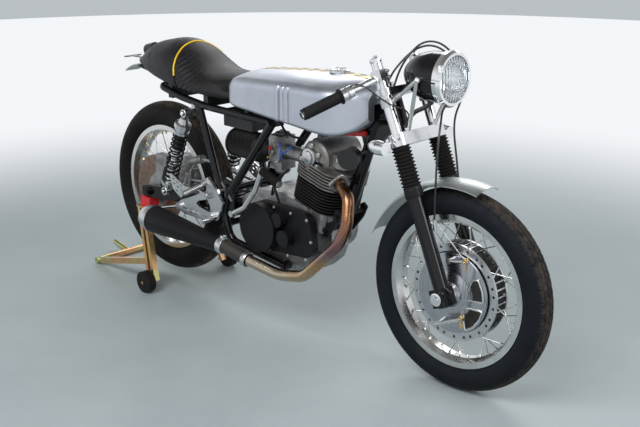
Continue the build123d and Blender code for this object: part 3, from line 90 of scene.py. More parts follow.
def grid(points, round_u=False, round_v=False):
    """A shape: the points of a grid, and the quads that join each with the next ones along u and v."""
    nu, nv = points.shape[:2]
    u, v = np.meshgrid(
        np.arange(nu if round_u else nu - 1), np.arange(nv if round_v else nv - 1), indexing="ij"
    )
    u2, v2 = (u + 1) % nu, (v + 1) % nv
    quads = np.stack([u * nv + v, u2 * nv + v, u2 * nv + v2, u * nv + v2], -1)
    return points.reshape(-1, 3), quads.reshape(-1, 4)


def together(*shapes):
    """Several shapes as one: points one after the other, and quads counted on."""
    starts = np.cumsum([0] + [len(points) for points, _ in shapes[:-1]])
    return (
        np.concatenate([points for points, _ in shapes]),
        np.concatenate([quads + start for (_, quads), start in zip(shapes, starts)]),
    )


def copies(shape, places, turns):
    """Many copies of a small shape: each point is turned by a 3 x 3 array, then moved to its place."""
    points, quads = shape
    places, turns = np.asarray(places, float), np.asarray(turns, float)
    if turns.ndim == 2:
        turns = np.repeat(turns[None], len(places), 0)
    moved = np.einsum("pi,kij->kpj", points, turns) + places[:, None]
    counted = quads[None] + (np.arange(len(places)) * len(points))[:, None, None]
    return moved.reshape(-1, 3), counted.reshape(-1, 4)


def piece(name, shape, body, finish, stands_for=(), sharp=35.0, flat=False):
    """One object from a shape: doubles merged, faces turned outwards, finish given, riding on its body."""
    points, quads = shape
    mesh = bpy.data.meshes.new(name)
    mesh.from_pydata(points.tolist(), [], quads.tolist())
    work = bmesh.new()
    work.from_mesh(mesh)
    bmesh.ops.remove_doubles(work, verts=work.verts, dist=2e-6)
    bmesh.ops.recalc_face_normals(work, faces=work.faces)
    work.to_mesh(mesh)
    work.free()
    if not flat:
        mesh.shade_smooth()
        mesh.set_sharp_from_angle(angle=radians(sharp))
    mesh.materials.append(finish)
    made = bpy.data.objects.new(name, mesh)
    scene.collection.objects.link(made)
    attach(made, body)
    if stands_for:
        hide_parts(*stands_for)
    print(name, len(mesh.vertices), "points", len(mesh.polygons), "faces")
    return made


# %% [markdown]
# ## Turned shapes, bars, tubes and springs
# Most of a motorcycle is turned on a lathe or bent from tube. A turned shape is a profile that goes
# round an axis. A tube is a circle that goes along a path, held square to it.

# %% Lathe, bar, tube


def across(axis):
    """Two directions square to an axis and to each other."""
    axis = unit(axis)
    other = np.array((0.0, 0.0, 1.0)) if abs(axis[2]) < 0.9 else np.array((1.0, 0.0, 0.0))
    side = unit(np.cross(axis, other))
    return side, np.cross(axis, side)


def turned(profile, centre, axis, sides=48, closed=False, lobes=None):
    """Lathe: profile (way along the axis, radius) in millimetres; point = centre + way * axis +
    radius * (cos t * side + sin t * up), where lobes(t) may scale the radius round the turn."""
    profile = np.asarray(profile, float) / 1000
    axis = unit(axis)
    side, up = across(axis)
    t = np.linspace(0, 2 * pi, sides, endpoint=False)
    scale = np.ones(sides) if lobes is None else lobes(t)
    ring = (np.cos(t)[:, None] * side + np.sin(t)[:, None] * up) * scale[:, None]
    points = (
        np.asarray(centre)
        + profile[None, :, :1] * axis
        + profile[None, :, 1:] * ring[:, None, :]
    )
    return grid(points, round_u=True, round_v=closed)


def bar(start, end, radius, sides=16, edge=1.0):
    """Round bar between two points in metres, radius and edge break in millimetres."""
    start, end = np.asarray(start), np.asarray(end)
    length = np.linalg.norm(end - start) * 1000
    edge = min(edge, radius * 0.4, length * 0.3)
    profile = (
        (0, 0), (0, radius - edge), (edge, radius), (length - edge, radius), (length, radius - edge),
        (length, 0),
    )
    return turned(profile, start, end - start, sides)


def tube(path, radius, sides=14, closed=False, across_from=(0.0, 1.0, 0.0)):
    """Tube along a path (n points in metres): point = path + radius * (cos t * side + sin t * up),
    where side is square to the path and to across_from. The radius in millimetres may change along."""
    path = np.asarray(path, float)
    if closed:
        ahead = unit(np.roll(path, -1, 0) - np.roll(path, 1, 0))
    else:
        ahead = unit(np.gradient(path, axis=0))
    side = unit(np.cross(ahead, np.asarray(across_from)))
    up = np.cross(ahead, side)
    t = np.linspace(0, 2 * pi, sides, endpoint=False)
    radius = np.broadcast_to(np.asarray(radius, float) / 1000, (len(path),))
    ring = np.cos(t)[None, :, None] * side[:, None] + np.sin(t)[None, :, None] * up[:, None]
    points = path[:, None] + radius[:, None, None] * ring
    if not closed:
        ends = np.repeat(path[[0, -1]][:, None], sides, 1)
        points = np.concatenate([ends[:1], points, ends[1:]])
    return grid(points, round_u=closed, round_v=True)


def bent(corners, bend, steps=12):
    """Path through corners in millimetres; each corner is rounded by a parabola that leaves the
    straight run `bend` before it and joins the next run as far behind it."""
    corners = np.asarray(corners, float) / 1000
    bend = np.broadcast_to(np.asarray(bend, float) / 1000, (len(corners) - 2,))
    t = np.linspace(0, 1, steps)[:, None]
    back = corners[1:-1] + unit(corners[:-2] - corners[1:-1]) * bend[:, None]
    on = corners[1:-1] + unit(corners[2:] - corners[1:-1]) * bend[:, None]
    curves = (1 - t) ** 2 * back[:, None] + 2 * t * (1 - t) * corners[1:-1, None] + t**2 * on[:, None]
    return np.concatenate([corners[:1], curves.reshape(-1, 3), corners[-1:]])


def spread(path, count):
    """The same path with evenly spaced points."""
    steps = np.linalg.norm(np.diff(path, axis=0), axis=1)
    way = np.concatenate([[0], np.cumsum(steps)])
    even = np.linspace(0, way[-1], count)
    return np.stack([np.interp(even, way, path[:, i]) for i in range(3)], -1)


def slab(outline, plane_point, u_axis, v_axis, thickness, edge=0.8):
    """Flat plate: an outline (n points, millimetres) filled from its middle and given a thickness,
    with a narrow bevel. The rings go middle, face edge, side, other face edge, middle."""
    outline = np.asarray(outline, float)
    middle = outline.mean(0)
    inward = unit(middle - outline) * edge
    u_axis, v_axis = unit(u_axis), unit(v_axis)
    out = np.cross(u_axis, v_axis)
    rings = (
        (np.repeat(middle[None], len(outline), 0), 0.0),
        (outline + inward, 0.0),
        (outline, edge),
        (outline, thickness - edge),
        (outline + inward, thickness),
        (np.repeat(middle[None], len(outline), 0), thickness),
    )
    points = np.stack(
        [
            (ring[:, :1] * u_axis + ring[:, 1:] * v_axis + height * out) / 1000
            for ring, height in rings
        ]
    ) + np.asarray(plane_point)
    return grid(points, round_v=True)


def bolt(head=6.0, height=5.0, washer=8.5):
    """Hexagon bolt head on a washer, standing along +Z: the radius of the head follows a hexagon,
    r = flat / cos(angle within the sixth)."""
    t = np.linspace(0, 2 * pi, 24, endpoint=False)
    hexagon = np.cos(pi / 6) / np.cos((t + pi / 6) % (pi / 3) - pi / 6)
    heights = np.array((0, 0, 1.4, 1.4, height - 0.8, height, height)) / 1000
    radii = np.array((0, washer, washer, head, head, head * 0.9, 0)) / 1000
    round_part = np.array((1, 1, 1, 0, 0, 0, 0))[None, :]
    scale = round_part + (1 - round_part) * hexagon[:, None]
    points = np.stack(
        [
            radii * scale * np.cos(t)[:, None],
            radii * scale * np.sin(t)[:, None],
            np.broadcast_to(heights, scale.shape),
        ],
        -1,
    )
    return grid(points, round_u=True)


def socket_screw(head=5.0, height=5.0):
    """Cap screw with a round head and a recess, standing along +Z."""
    return turned(
        (
            (0, 0), (0, head), (height - 0.7, head), (height, head - 0.7), (height, head * 0.55),
            (height - 2.5, head * 0.5), (height - 2.5, 0),
        ),
        (0, 0, 0), (0, 0, 1), sides=16,
    )


def facing(normal):
    """3 x 3 array that turns +Z to a direction."""
    normal = unit(normal)
    side, up = across(normal)
    return np.stack([side, up, normal])


ALONG_Y_RIGHT = facing((0, -1, 0))

# %% [markdown]
# ## The fork's own axes
# The legs lean back and are turned a little to the left, so it is easier to write their pieces in
# the fork's own axes: x forward, y to the left, z up along the legs.

# %% Axes of fork and wheels
RAKE, STEER = radians(23.1), radians(2.4)
WHEEL_FOOT, REAR_AXLE_PLACE = (0.760, 0, 0.320), (-0.640, 0, 0.371)
AXLE_SETBACK, YOKE_OFFSET = 0.008, 0.055
LEG_SIDE = 92
fork_up = np.array((-np.sin(RAKE), 0, np.cos(RAKE)))
ahead_of_fork = np.array((np.cos(RAKE), 0, np.sin(RAKE)))
fork_forward = ahead_of_fork * np.cos(STEER) + np.array((0, np.sin(STEER), 0))
fork_left = np.cross(fork_up, fork_forward)
stem_foot = np.array(WHEEL_FOOT) + ahead_of_fork * (AXLE_SETBACK - YOKE_OFFSET)
fork_origin = stem_foot + fork_forward * YOKE_OFFSET


def on_fork(*points):
    """Points in the fork's own millimetres, as row positions in metres."""
    points = np.array(points, float) / 1000
    return fork_origin + points @ np.stack([fork_forward, fork_left, fork_up])


front_axle = on_fork((-1000 * AXLE_SETBACK, 0, 0))[0]
rear_axle = np.array(REAR_AXLE_PLACE)
LEAN = radians(15.5)
cylinder_foot = np.array((0.190, 0, 0.480))
cylinder_up = np.array((np.sin(LEAN), 0, np.cos(LEAN)))
cylinder_ahead = np.array((np.cos(LEAN), 0, -np.sin(LEAN)))


def on_cylinder(*points):
    """Points in the cylinder's own millimetres: x forward, y left, z up from its seat on the case."""
    points = np.array(points, float) / 1000
    return cylinder_foot + points @ np.stack([cylinder_ahead, np.array((0.0, 1.0, 0.0)), cylinder_up])


print("front axle", front_axle.round(4), "rear axle", rear_axle)

# %% [markdown]
# ## Finishes
# A real finish is never one flat colour. Each one here mixes two colours with broad clouds, changes
# its roughness with a finer grain, and gets a bump from the same grain. Stretching the grain along
# one direction turns it into brush marks. All patterns lie on Object coordinates, in metres.

# %% Helpers for node trees


def put(tree, kind, inputs=None, **settings):
    """Add a node: settings are its options, and each input is a value or another node's output."""
    made = tree.nodes.new("ShaderNode" + kind)
    for key, value in settings.items():
        setattr(made, key, value)
    for key, value in (inputs or {}).items():
        if isinstance(value, bpy.types.NodeSocket):
            tree.links.new(value, made.inputs[key])
        else:
            made.inputs[key].default_value = value
    return made


def maths(tree, operation, *values):
    """Result of a Math node on numbers or on other nodes' outputs."""
    return put(tree, "Math", dict(enumerate(values)), operation=operation).outputs[0]


def vector_maths(tree, operation, *values, result="Vector"):
    """Result of a Vector Math node: its Vector output, or Value where one number comes out."""
    return put(tree, "VectorMath", dict(enumerate(values)), operation=operation).outputs[result]


def ramp(tree, factor, *stops):
    """Colour ramp from (place, colour) stops."""
    made = put(tree, "ValToRGB", {"Fac": factor})
    marks = made.color_ramp.elements
    while len(marks) < len(stops):
        marks.new(1.0)
    for mark, (place, colour) in zip(marks, stops):
        mark.position = place
        mark.color = (*colour, 1.0) if not np.isscalar(colour) else (colour, colour, colour, 1.0)
    return made.outputs["Color"]


def blend_colours(tree, factor, first, second, how="MIX"):
    """Mix two colours: factor 0 shows the first and 1 the second."""
    made = put(tree, "Mix", data_type="RGBA", blend_type=how)
    for socket, value in ((made.inputs[0], factor), (made.inputs[6], first), (made.inputs[7], second)):
        if isinstance(value, bpy.types.NodeSocket):
            tree.links.new(value, socket)
        elif np.isscalar(value):
            socket.default_value = value
        else:
            socket.default_value = (*value, 1.0) if len(value) == 3 else value
    return made.outputs[2]


def begin(name, metallic=0.0, coat=0.0):
    """A new material, its tree and its shader, with the numbers that stay the same all over."""
    made = bpy.data.materials.new(name)
    made.use_nodes = True
    tree = made.node_tree
    shader = tree.nodes["Principled BSDF"]
    shader.inputs["Metallic"].default_value = metallic
    shader.inputs["Coat Weight"].default_value = coat
    shader.inputs["Coat Roughness"].default_value = 0.06
    return made, tree, shader


def noise(tree, scale, detail=4.0, stretch=(1, 1, 1), turn=(0, 0, 0), rough=0.55):
    """Cloudy pattern on Object coordinates, stretched and turned by a Mapping node."""
    where = put(tree, "TexCoord").outputs["Object"]
    mapped = put(tree, "Mapping", {"Vector": where, "Scale": stretch, "Rotation": turn})
    return put(
        tree, "TexNoise",
        {"Vector": mapped.outputs["Vector"], "Scale": scale, "Detail": detail, "Roughness": rough}
    ).outputs["Fac"]


def between(tree, factor, low, high, start=0.3, end=0.7):
    """Bring a factor between two values."""
    return put(
        tree, "MapRange", {"Value": factor, "From Min": start, "From Max": end, "To Min": low, "To Max": high}
    ).outputs["Result"]


def raise_surface(tree, shader, height, distance, strength=1.0):
    """Give the shader a bump from a height, in metres."""
    made = put(tree, "Bump", {"Height": height, "Distance": distance, "Strength": strength})
    tree.links.new(made.outputs["Normal"], shader.inputs["Normal"])


def plain_finish(
    name, first, second, metallic=0.0, rough=(0.3, 0.45), cloud=9.0, grain=350.0,
    stretch=(1, 1, 1), turn=(0, 0, 0), bump=0.0001, coat=0.0, specular=0.5, grime=None,
):
    """Two colours in clouds, a grain in the roughness and bump, and grime in cloudy spots where asked."""
    made, tree, shader = begin(name, metallic, coat)
    shader.inputs["Specular IOR Level"].default_value = specular
    clouds = noise(tree, cloud, 5.0)
    fine = noise(tree, grain, 3.0, stretch, turn)
    colour = blend_colours(tree, between(tree, clouds, 0, 1), first, second)
    colour = blend_colours(tree, between(tree, fine, 0.0, 0.22), colour, second)
    if grime:
        spots = noise(tree, 28.0, 8.0, rough=0.7)
        colour = blend_colours(tree, between(tree, spots, 0.0, grime[1], 0.52, 0.72), colour, grime[0])
    tree.links.new(colour, shader.inputs["Base Color"])
    tree.links.new(between(tree, fine, *rough, 0.25, 0.75), shader.inputs["Roughness"])
    raise_surface(tree, shader, fine, bump)
    return made


# %% [markdown]
# ## Metals and paints of this machine
# The tank is raw sheet aluminium: bluish, with soft brush marks along its length. Yokes, clamps and
# footrests are turned and polished, the head is grey from its casting sand, and frame and fork legs
# are black enamel that shows every lamp.

# %% Metals and paints
black_enamel = plain_finish(
    "black_enamel", (0.003, 0.003, 0.004), (0.006, 0.006, 0.008), rough=(0.05, 0.10), grain=140, bump=0.00002,
    coat=0.08, specular=0.3, grime=((0.02, 0.018, 0.016), 0.2),
)
satin_black = plain_finish(
    "satin_black_coat", (0.006, 0.006, 0.007), (0.011, 0.011, 0.013), rough=(0.34, 0.5), grain=900,
    bump=0.00010, specular=0.18, grime=((0.03, 0.027, 0.024), 0.2),
)
barrel_black = plain_finish(
    "barrel_black", (0.005, 0.005, 0.005), (0.011, 0.010, 0.010), rough=(0.42, 0.62), grain=1200,
    bump=0.00012, specular=0.3, grime=((0.06, 0.05, 0.042), 0.25),
)
cast_alloy = plain_finish(
    "cast_alloy", (0.24, 0.24, 0.24), (0.42, 0.42, 0.42), metallic=0.9, rough=(0.30, 0.52), cloud=16.0,
    grain=700, bump=0.00020, grime=((0.05, 0.04, 0.032), 0.75),
)
head_alloy = plain_finish(
    "head_alloy", (0.20, 0.19, 0.18), (0.34, 0.325, 0.31), metallic=0.75, rough=(0.36, 0.58), cloud=16.0,
    grain=800, bump=0.00024, grime=((0.05, 0.038, 0.03), 0.7),
)
polished_alloy = plain_finish(
    "polished_alloy", (0.68, 0.69, 0.70), (0.80, 0.81, 0.82), metallic=1.0, rough=(0.14, 0.30), grain=260,
    stretch=(1, 1, 6), bump=0.00003, grime=((0.25, 0.22, 0.19), 0.25),
)
turned_alloy = plain_finish(
    "turned_alloy", (0.50, 0.51, 0.52), (0.66, 0.67, 0.68), metallic=1.0, rough=(0.22, 0.36), grain=420,
    bump=0.00005, grime=((0.22, 0.2, 0.17), 0.3),
)
bright_chrome = plain_finish(
    "bright_chrome", (0.78, 0.79, 0.80), (0.86, 0.87, 0.88), metallic=1.0, rough=(0.04, 0.12), grain=60,
    bump=0.00001, grime=((0.4, 0.37, 0.33), 0.15),
)
rim_alloy = plain_finish(
    "rim_alloy", (0.56, 0.56, 0.55), (0.70, 0.70, 0.69), metallic=1.0, rough=(0.10, 0.24), grain=200,
    bump=0.00003, grime=((0.34, 0.29, 0.24), 0.4),
)
plain_steel = plain_finish(
    "plain_steel", (0.42, 0.42, 0.42), (0.55, 0.55, 0.55), metallic=1.0, rough=(0.25, 0.42), grain=500,
    bump=0.00006, grime=((0.2, 0.15, 0.1), 0.4),
)
black_plastic = plain_finish(
    "black_plastic", (0.006, 0.006, 0.006), (0.011, 0.011, 0.012), rough=(0.32, 0.5), grain=1400,
    bump=0.00006,
)
black_rubber = plain_finish(
    "black_rubber", (0.007, 0.007, 0.007), (0.014, 0.013, 0.013), rough=(0.45, 0.65), grain=1000,
    bump=0.00012, specular=0.18, grime=((0.035, 0.028, 0.022), 0.3),
)
red_rubber = plain_finish(
    "red_rubber", (0.62, 0.02, 0.03), (0.74, 0.04, 0.05), rough=(0.4, 0.55), grain=500, bump=0.0001,
)
red_tap = plain_finish(
    "red_cap", (0.7, 0.03, 0.03), (0.8, 0.06, 0.05), rough=(0.25, 0.4), grain=500, bump=0.00004,
)
blue_wire = plain_finish(
    "blue_wire", (0.02, 0.09, 0.42), (0.04, 0.14, 0.55), rough=(0.3, 0.45), grain=500, bump=0.00004,
)
yellow_piping = plain_finish(
    "yellow_piping", (0.86, 0.52, 0.01), (0.93, 0.62, 0.03), rough=(0.3, 0.42), grain=900, bump=0.00008,
    coat=0.15,
)
brass = plain_finish(
    "brass_fitting", (0.60, 0.40, 0.14), (0.72, 0.52, 0.22), metallic=1.0, rough=(0.22, 0.4), grain=400,
    bump=0.00005, grime=((0.2, 0.12, 0.05), 0.4),
)
cable_black = plain_finish(
    "cable_sleeve", (0.010, 0.010, 0.011), (0.018, 0.018, 0.019), rough=(0.28, 0.42), grain=600, bump=0.00004,
    coat=0.2,
)
print("finishes", len(bpy.data.materials))

# %% [markdown]
# ## Raw aluminium sheet
# A hand-beaten tank keeps faint marks of the wheel it was smoothed on: long streaks along it, wide
# dull clouds where it was handled, and a slightly blue cast from the room.

# %% Brushed sheet aluminium


def sheet_alloy(name, turn=(0, 0, 0), first=(0.42, 0.46, 0.54), second=(0.58, 0.61, 0.67)):
    """Aluminium with streaks 20 times longer than wide, clouds of dull and bright, and broad unevenness."""
    made, tree, shader = begin(name, metallic=1.0)
    streaks = noise(tree, 55.0, 6.0, (1.0, 20.0, 20.0), turn)
    clouds = noise(tree, 5.0, 6.0, rough=0.6)
    colour = blend_colours(tree, between(tree, clouds, 0, 1, 0.35, 0.65), first, second)
    colour = blend_colours(tree, between(tree, streaks, 0, 0.35), colour, (0.66, 0.68, 0.72))
    tree.links.new(colour, shader.inputs["Base Color"])
    dull, brushed = between(tree, clouds, 0.30, 0.44, 0.3, 0.7), between(tree, streaks, -0.05, 0.06)
    tree.links.new(maths(tree, "ADD", dull, brushed), shader.inputs["Roughness"])
    height = maths(tree, "ADD", streaks, between(tree, clouds, 0, 6.0, 0, 1))
    raise_surface(tree, shader, height, 0.00006)
    return made


tank_alloy = sheet_alloy("tank_sheet_alloy")
guard_alloy = sheet_alloy("guard_sheet_alloy", first=(0.36, 0.40, 0.39), second=(0.52, 0.55, 0.53))
print("sheet alloys ready")

# %% [markdown]
# ## Heat colours
# Near the cylinder a steel pipe takes on a skin of oxide: straw, brown, purple and blue, in the
# order of its temperature. Further along it stays plain. The colour follows the way along the pipe,
# given roughly by height and place, and is broken up by clouds.

# %% Heat-tinted steel


def heat_tint(name, start, end):
    """Colours along the line from start to end (metres): 0 at the flange, 1 where it stays bright."""
    made, tree, shader = begin(name, metallic=1.0)
    where = put(tree, "TexCoord").outputs["Object"]
    away = np.array(end) - np.array(start)
    offset = vector_maths(tree, "SUBTRACT", where, tuple(start))
    along = vector_maths(tree, "DOT_PRODUCT", offset, tuple(away / (away @ away)), result="Value")
    clouds = between(tree, noise(tree, 14.0, 6.0), -0.16, 0.16, 0.2, 0.8)
    colour = ramp(
        tree, maths(tree, "ADD", along, clouds),
        (0.0, (0.16, 0.09, 0.055)), (0.16, (0.30, 0.15, 0.075)), (0.30, (0.24, 0.12, 0.08)),
        (0.42, (0.20, 0.12, 0.13)), (0.50, (0.24, 0.17, 0.17)), (0.62, (0.42, 0.26, 0.13)),
        (0.80, (0.46, 0.34, 0.21)), (1.0, (0.50, 0.42, 0.32)),
    )
    tree.links.new(colour, shader.inputs["Base Color"])
    fine = noise(tree, 240.0, 4.0)
    tree.links.new(between(tree, fine, 0.16, 0.34), shader.inputs["Roughness"])
    raise_surface(tree, shader, fine, 0.00003)
    return made


header_steel = heat_tint("header_heat_tint", (0.34, -0.09, 0.60), (0.16, -0.16, 0.22))

# %% [markdown]
# ## Yellow zinc
# The stand is plated with zinc and dipped in a yellow bath. The skin is so thin that it shows rainbow
# patches of gold, green and rose.

# %% Rainbow zinc plating


def zinc_plate(name):
    """Gold with soft patches of green and rose, from two clouds of different size."""
    made, tree, shader = begin(name, metallic=1.0)
    hue = noise(tree, 9.0, 3.0)
    colour = ramp(
        tree, hue, (0.25, (0.74, 0.62, 0.30)), (0.42, (0.78, 0.52, 0.20)), (0.52, (0.74, 0.40, 0.24)),
        (0.60, (0.62, 0.58, 0.24)), (0.72, (0.45, 0.58, 0.34)),
    )
    fine = noise(tree, 300.0, 4.0)
    tree.links.new(colour, shader.inputs["Base Color"])
    tree.links.new(between(tree, fine, 0.2, 0.38), shader.inputs["Roughness"])
    raise_surface(tree, shader, fine, 0.00004)
    return made


yellow_zinc = zinc_plate("yellow_zinc")

# %% [markdown]
# ## Leather, tyre rubber and the brake disc
# The seat cover has a pebble grain of small cells with creases between them. A used tyre is greyer
# on its walls than on its tread. A disc shows rings from the pads.

# %% Leather, tyres, disc


def leather(name, first, second):
    """Cells about 1.6 mm across as grain, with broad wear that makes it smoother."""
    made, tree, shader = begin(name)
    shader.inputs["Specular IOR Level"].default_value = 0.3
    where = put(tree, "TexCoord").outputs["Object"]
    waver = put(tree, "TexNoise", {"Vector": where, "Scale": 300.0}).outputs["Color"]
    shift = put(tree, "VectorMath", {0: waver, "Scale": 0.0012}, operation="SCALE").outputs[0]
    shaken = vector_maths(tree, "ADD", where, shift)
    cell_edges = put(tree, "TexVoronoi", {"Vector": shaken, "Scale": 620.0}, feature="DISTANCE_TO_EDGE")
    cells = cell_edges.outputs["Distance"]
    wear = noise(tree, 12.0, 5.0)
    colour = blend_colours(tree, between(tree, wear, 0, 1), first, second)
    colour = blend_colours(
        tree, between(tree, cells, 0.5, 0.0, 0.0, 0.12), colour, tuple(0.4 * c for c in first),
    )
    tree.links.new(colour, shader.inputs["Base Color"])
    tree.links.new(between(tree, wear, 0.36, 0.50), shader.inputs["Roughness"])
    height = maths(tree, "ADD", between(tree, cells, 0, 1, 0, 0.25), between(tree, wear, 0, 1.2, 0, 1))
    raise_surface(tree, shader, height, 0.00018)
    return made


def tyre_finish(name, centre, axis, tread_r, wall_tint):
    """Rubber whose tint changes with the distance from the axle: greyer walls, brown dust on the tread."""
    made, tree, shader = begin(name)
    shader.inputs["Specular IOR Level"].default_value = 0.14
    where = put(tree, "TexCoord").outputs["Object"]
    offset = vector_maths(tree, "SUBTRACT", where, tuple(centre))
    side = vector_maths(tree, "DOT_PRODUCT", offset, tuple(axis), result="Value")
    length = vector_maths(tree, "LENGTH", offset, result="Value")
    squares = maths(tree, "SUBTRACT", maths(tree, "POWER", length, 2.0), maths(tree, "POWER", side, 2.0))
    radius = maths(tree, "SQRT", squares)
    dust = noise(tree, 30.0, 8.0, rough=0.7)
    on_tread = between(tree, radius, 0.0, 1.0, tread_r - 0.016, tread_r - 0.008)
    dusty = maths(tree, "MULTIPLY", on_tread, between(tree, dust, 0.05, 0.75, 0.4, 0.7))
    wall = blend_colours(
        tree, between(tree, noise(tree, 7.0, 5.0), 0, 1), wall_tint, tuple(1.5 * c for c in wall_tint),
    )
    colour = blend_colours(tree, dusty, wall, (0.10, 0.08, 0.06))
    tree.links.new(colour, shader.inputs["Base Color"])
    tree.links.new(between(tree, dust, 0.55, 0.8), shader.inputs["Roughness"])
    raise_surface(tree, shader, noise(tree, 900.0, 2.0), 0.00008)
    return made


def ringed_metal(name, centre, axis, first, second, pitch=900.0, metallic=1.0, rough=(0.2, 0.4)):
    """Metal with fine rings round an axis: the pattern is noise of the radius alone."""
    made, tree, shader = begin(name, metallic=metallic)
    where = put(tree, "TexCoord").outputs["Object"]
    offset = vector_maths(tree, "SUBTRACT", where, tuple(centre))
    square_to_axis = vector_maths(tree, "CROSS_PRODUCT", offset, tuple(axis))
    radius = vector_maths(tree, "LENGTH", square_to_axis, result="Value")
    ring_noise = put(tree, "TexNoise", {"W": radius, "Scale": pitch, "Detail": 3.0}, noise_dimensions="1D")
    rings = ring_noise.outputs["Fac"]
    clouds = noise(tree, 18.0, 5.0)
    colour = blend_colours(tree, between(tree, rings, 0, 1), first, second)
    colour = blend_colours(tree, between(tree, clouds, 0, 0.4), colour, tuple(0.6 * c for c in first))
    tree.links.new(colour, shader.inputs["Base Color"])
    tree.links.new(between(tree, rings, *rough), shader.inputs["Roughness"])
    raise_surface(tree, shader, rings, 0.00004)
    return made


seat_leather = leather("seat_leather", (0.005, 0.005, 0.006), (0.010, 0.0095, 0.012))
front_tyre_rubber = tyre_finish("front_tyre_rubber", front_axle, fork_left, 0.320, (0.007, 0.009, 0.012))
rear_tyre_rubber = tyre_finish("rear_tyre_rubber", rear_axle, (0, 1, 0), 0.331, (0.009, 0.008, 0.008))
disc_metal = ringed_metal("rear_disc_iron", rear_axle, (0, 1, 0), (0.20, 0.13, 0.10), (0.36, 0.27, 0.22))
panel_metal = ringed_metal(
    "brake_panel_alloy", front_axle, fork_left, (0.40, 0.42, 0.45), (0.56, 0.58, 0.61), pitch=300.0,
    rough=(0.16, 0.3),
)
print("leather, tyres and disc ready")

# %% [markdown]
# ## Lamp glass and mirror
# The headlight's glass is clear with upright flutes, and the bowl behind it is a mirror. Glass passes
# light, so its shader transmits and stays smooth.

# %% Lamp glass and mirror


def lamp_glass(name):
    """Clear glass with flutes about 12 mm wide, as a bump from a sine of the sideways place."""
    made, tree, shader = begin(name)
    shader.inputs["Transmission Weight"].default_value = 0.92
    shader.inputs["IOR"].default_value = 1.45
    where = put(tree, "TexCoord").outputs["Object"]
    flutes = put(
        tree, "TexWave", {"Vector": where, "Scale": 26.0, "Distortion": 0.0},
        wave_type="BANDS", bands_direction="Y",
    )
    smear = noise(tree, 20.0, 4.0)
    colour = blend_colours(tree, between(tree, smear, 0, 1), (0.90, 0.94, 0.96), (0.97, 0.98, 1.0))
    tree.links.new(colour, shader.inputs["Base Color"])
    tree.links.new(between(tree, smear, 0.03, 0.12), shader.inputs["Roughness"])
    raise_surface(tree, shader, flutes.outputs["Fac"], 0.0006)
    return made


lens_glass = lamp_glass("headlight_glass")
mirror_bowl = plain_finish(
    "reflector_mirror", (0.86, 0.87, 0.88), (0.93, 0.94, 0.95), metallic=1.0, rough=(0.06, 0.14), grain=60,
    bump=0.00002,
)
print("materials", len(bpy.data.materials))

# %% [markdown]
# ## Finish for each ready-made solid
# A solid whose shape is right keeps its mesh and only swaps its material slots. Pieces that replace a
# solid further down take that solid out of sight.

# %% Finishes on the solids
FINISH_OF = {
    "frame_backbone": black_enamel, "frame_cradle": black_enamel, "frame_rear": black_enamel,
    "swingarm": black_enamel, "shock_absorbers": bright_chrome, "shock_mounts": plain_steel,
    "fuel_tank": tank_alloy, "filler_cap": polished_alloy, "seat_pad": seat_leather,
    "seat_base": black_plastic,
    "crankcase": cast_alloy, "clutch_cover": satin_black, "cylinder": barrel_black,
    "cylinder_head": head_alloy,
    "rocker_cover": head_alloy, "carburettor": cast_alloy, "air_filter": black_rubber, "horn": black_plastic,
    "electrics_tray": black_plastic, "exhaust_header": header_steel, "muffler": satin_black,
    "kick_lever": turned_alloy, "rearsets": turned_alloy, "rear_brake": cast_alloy,
    "drive_chain": plain_steel,
    "tail_lamp": black_plastic, "plate_hanger": black_enamel, "tail_guard": guard_alloy,
    "stand_frame": yellow_zinc, "stand_cups": red_rubber, "fork_legs": black_enamel,
    "stanchions": bright_chrome,
    "fork_gaiters": black_rubber, "fork_yokes": polished_alloy, "stem_nut": bright_chrome,
    "clip_on_bars": polished_alloy, "grips": black_rubber, "headlight_shell": black_enamel,
    "headlight_rim": bright_chrome, "headlight_lens": lens_glass, "headlight_reflector": mirror_bowl,
    "headlight_brackets": turned_alloy, "indicators": bright_chrome, "front_mudguard": guard_alloy,
    "brake_panel": panel_metal, "brake_levers": turned_alloy, "front_tyre": front_tyre_rubber,
    "front_rim": rim_alloy, "front_hub": turned_alloy, "rear_tyre": rear_tyre_rubber, "rear_rim": rim_alloy,
    "rear_hub": cast_alloy, "rear_disc": disc_metal, "stand_roller_right": black_rubber,
    "stand_roller_left": black_rubber, "engine_plates": satin_black, "front_brake_cable": cable_black,
    "speed_cable": cable_black, "throttle_cable": cable_black, "wiring_loom": cable_black,
}
for node_name, finish in FINISH_OF.items():
    slots = nodes[node_name].data.materials
    for place in range(len(slots)):
        slots[place] = finish
print("finished solids", len(FINISH_OF), "of", len(nodes))

# %% [markdown]
# ## Cables
# Four cables run between fixed ends: brake cable, speed cable, throttle cable and the wiring loom. Each
# is one open NURBS spline of order three, which rounds off the corners of its route by itself.

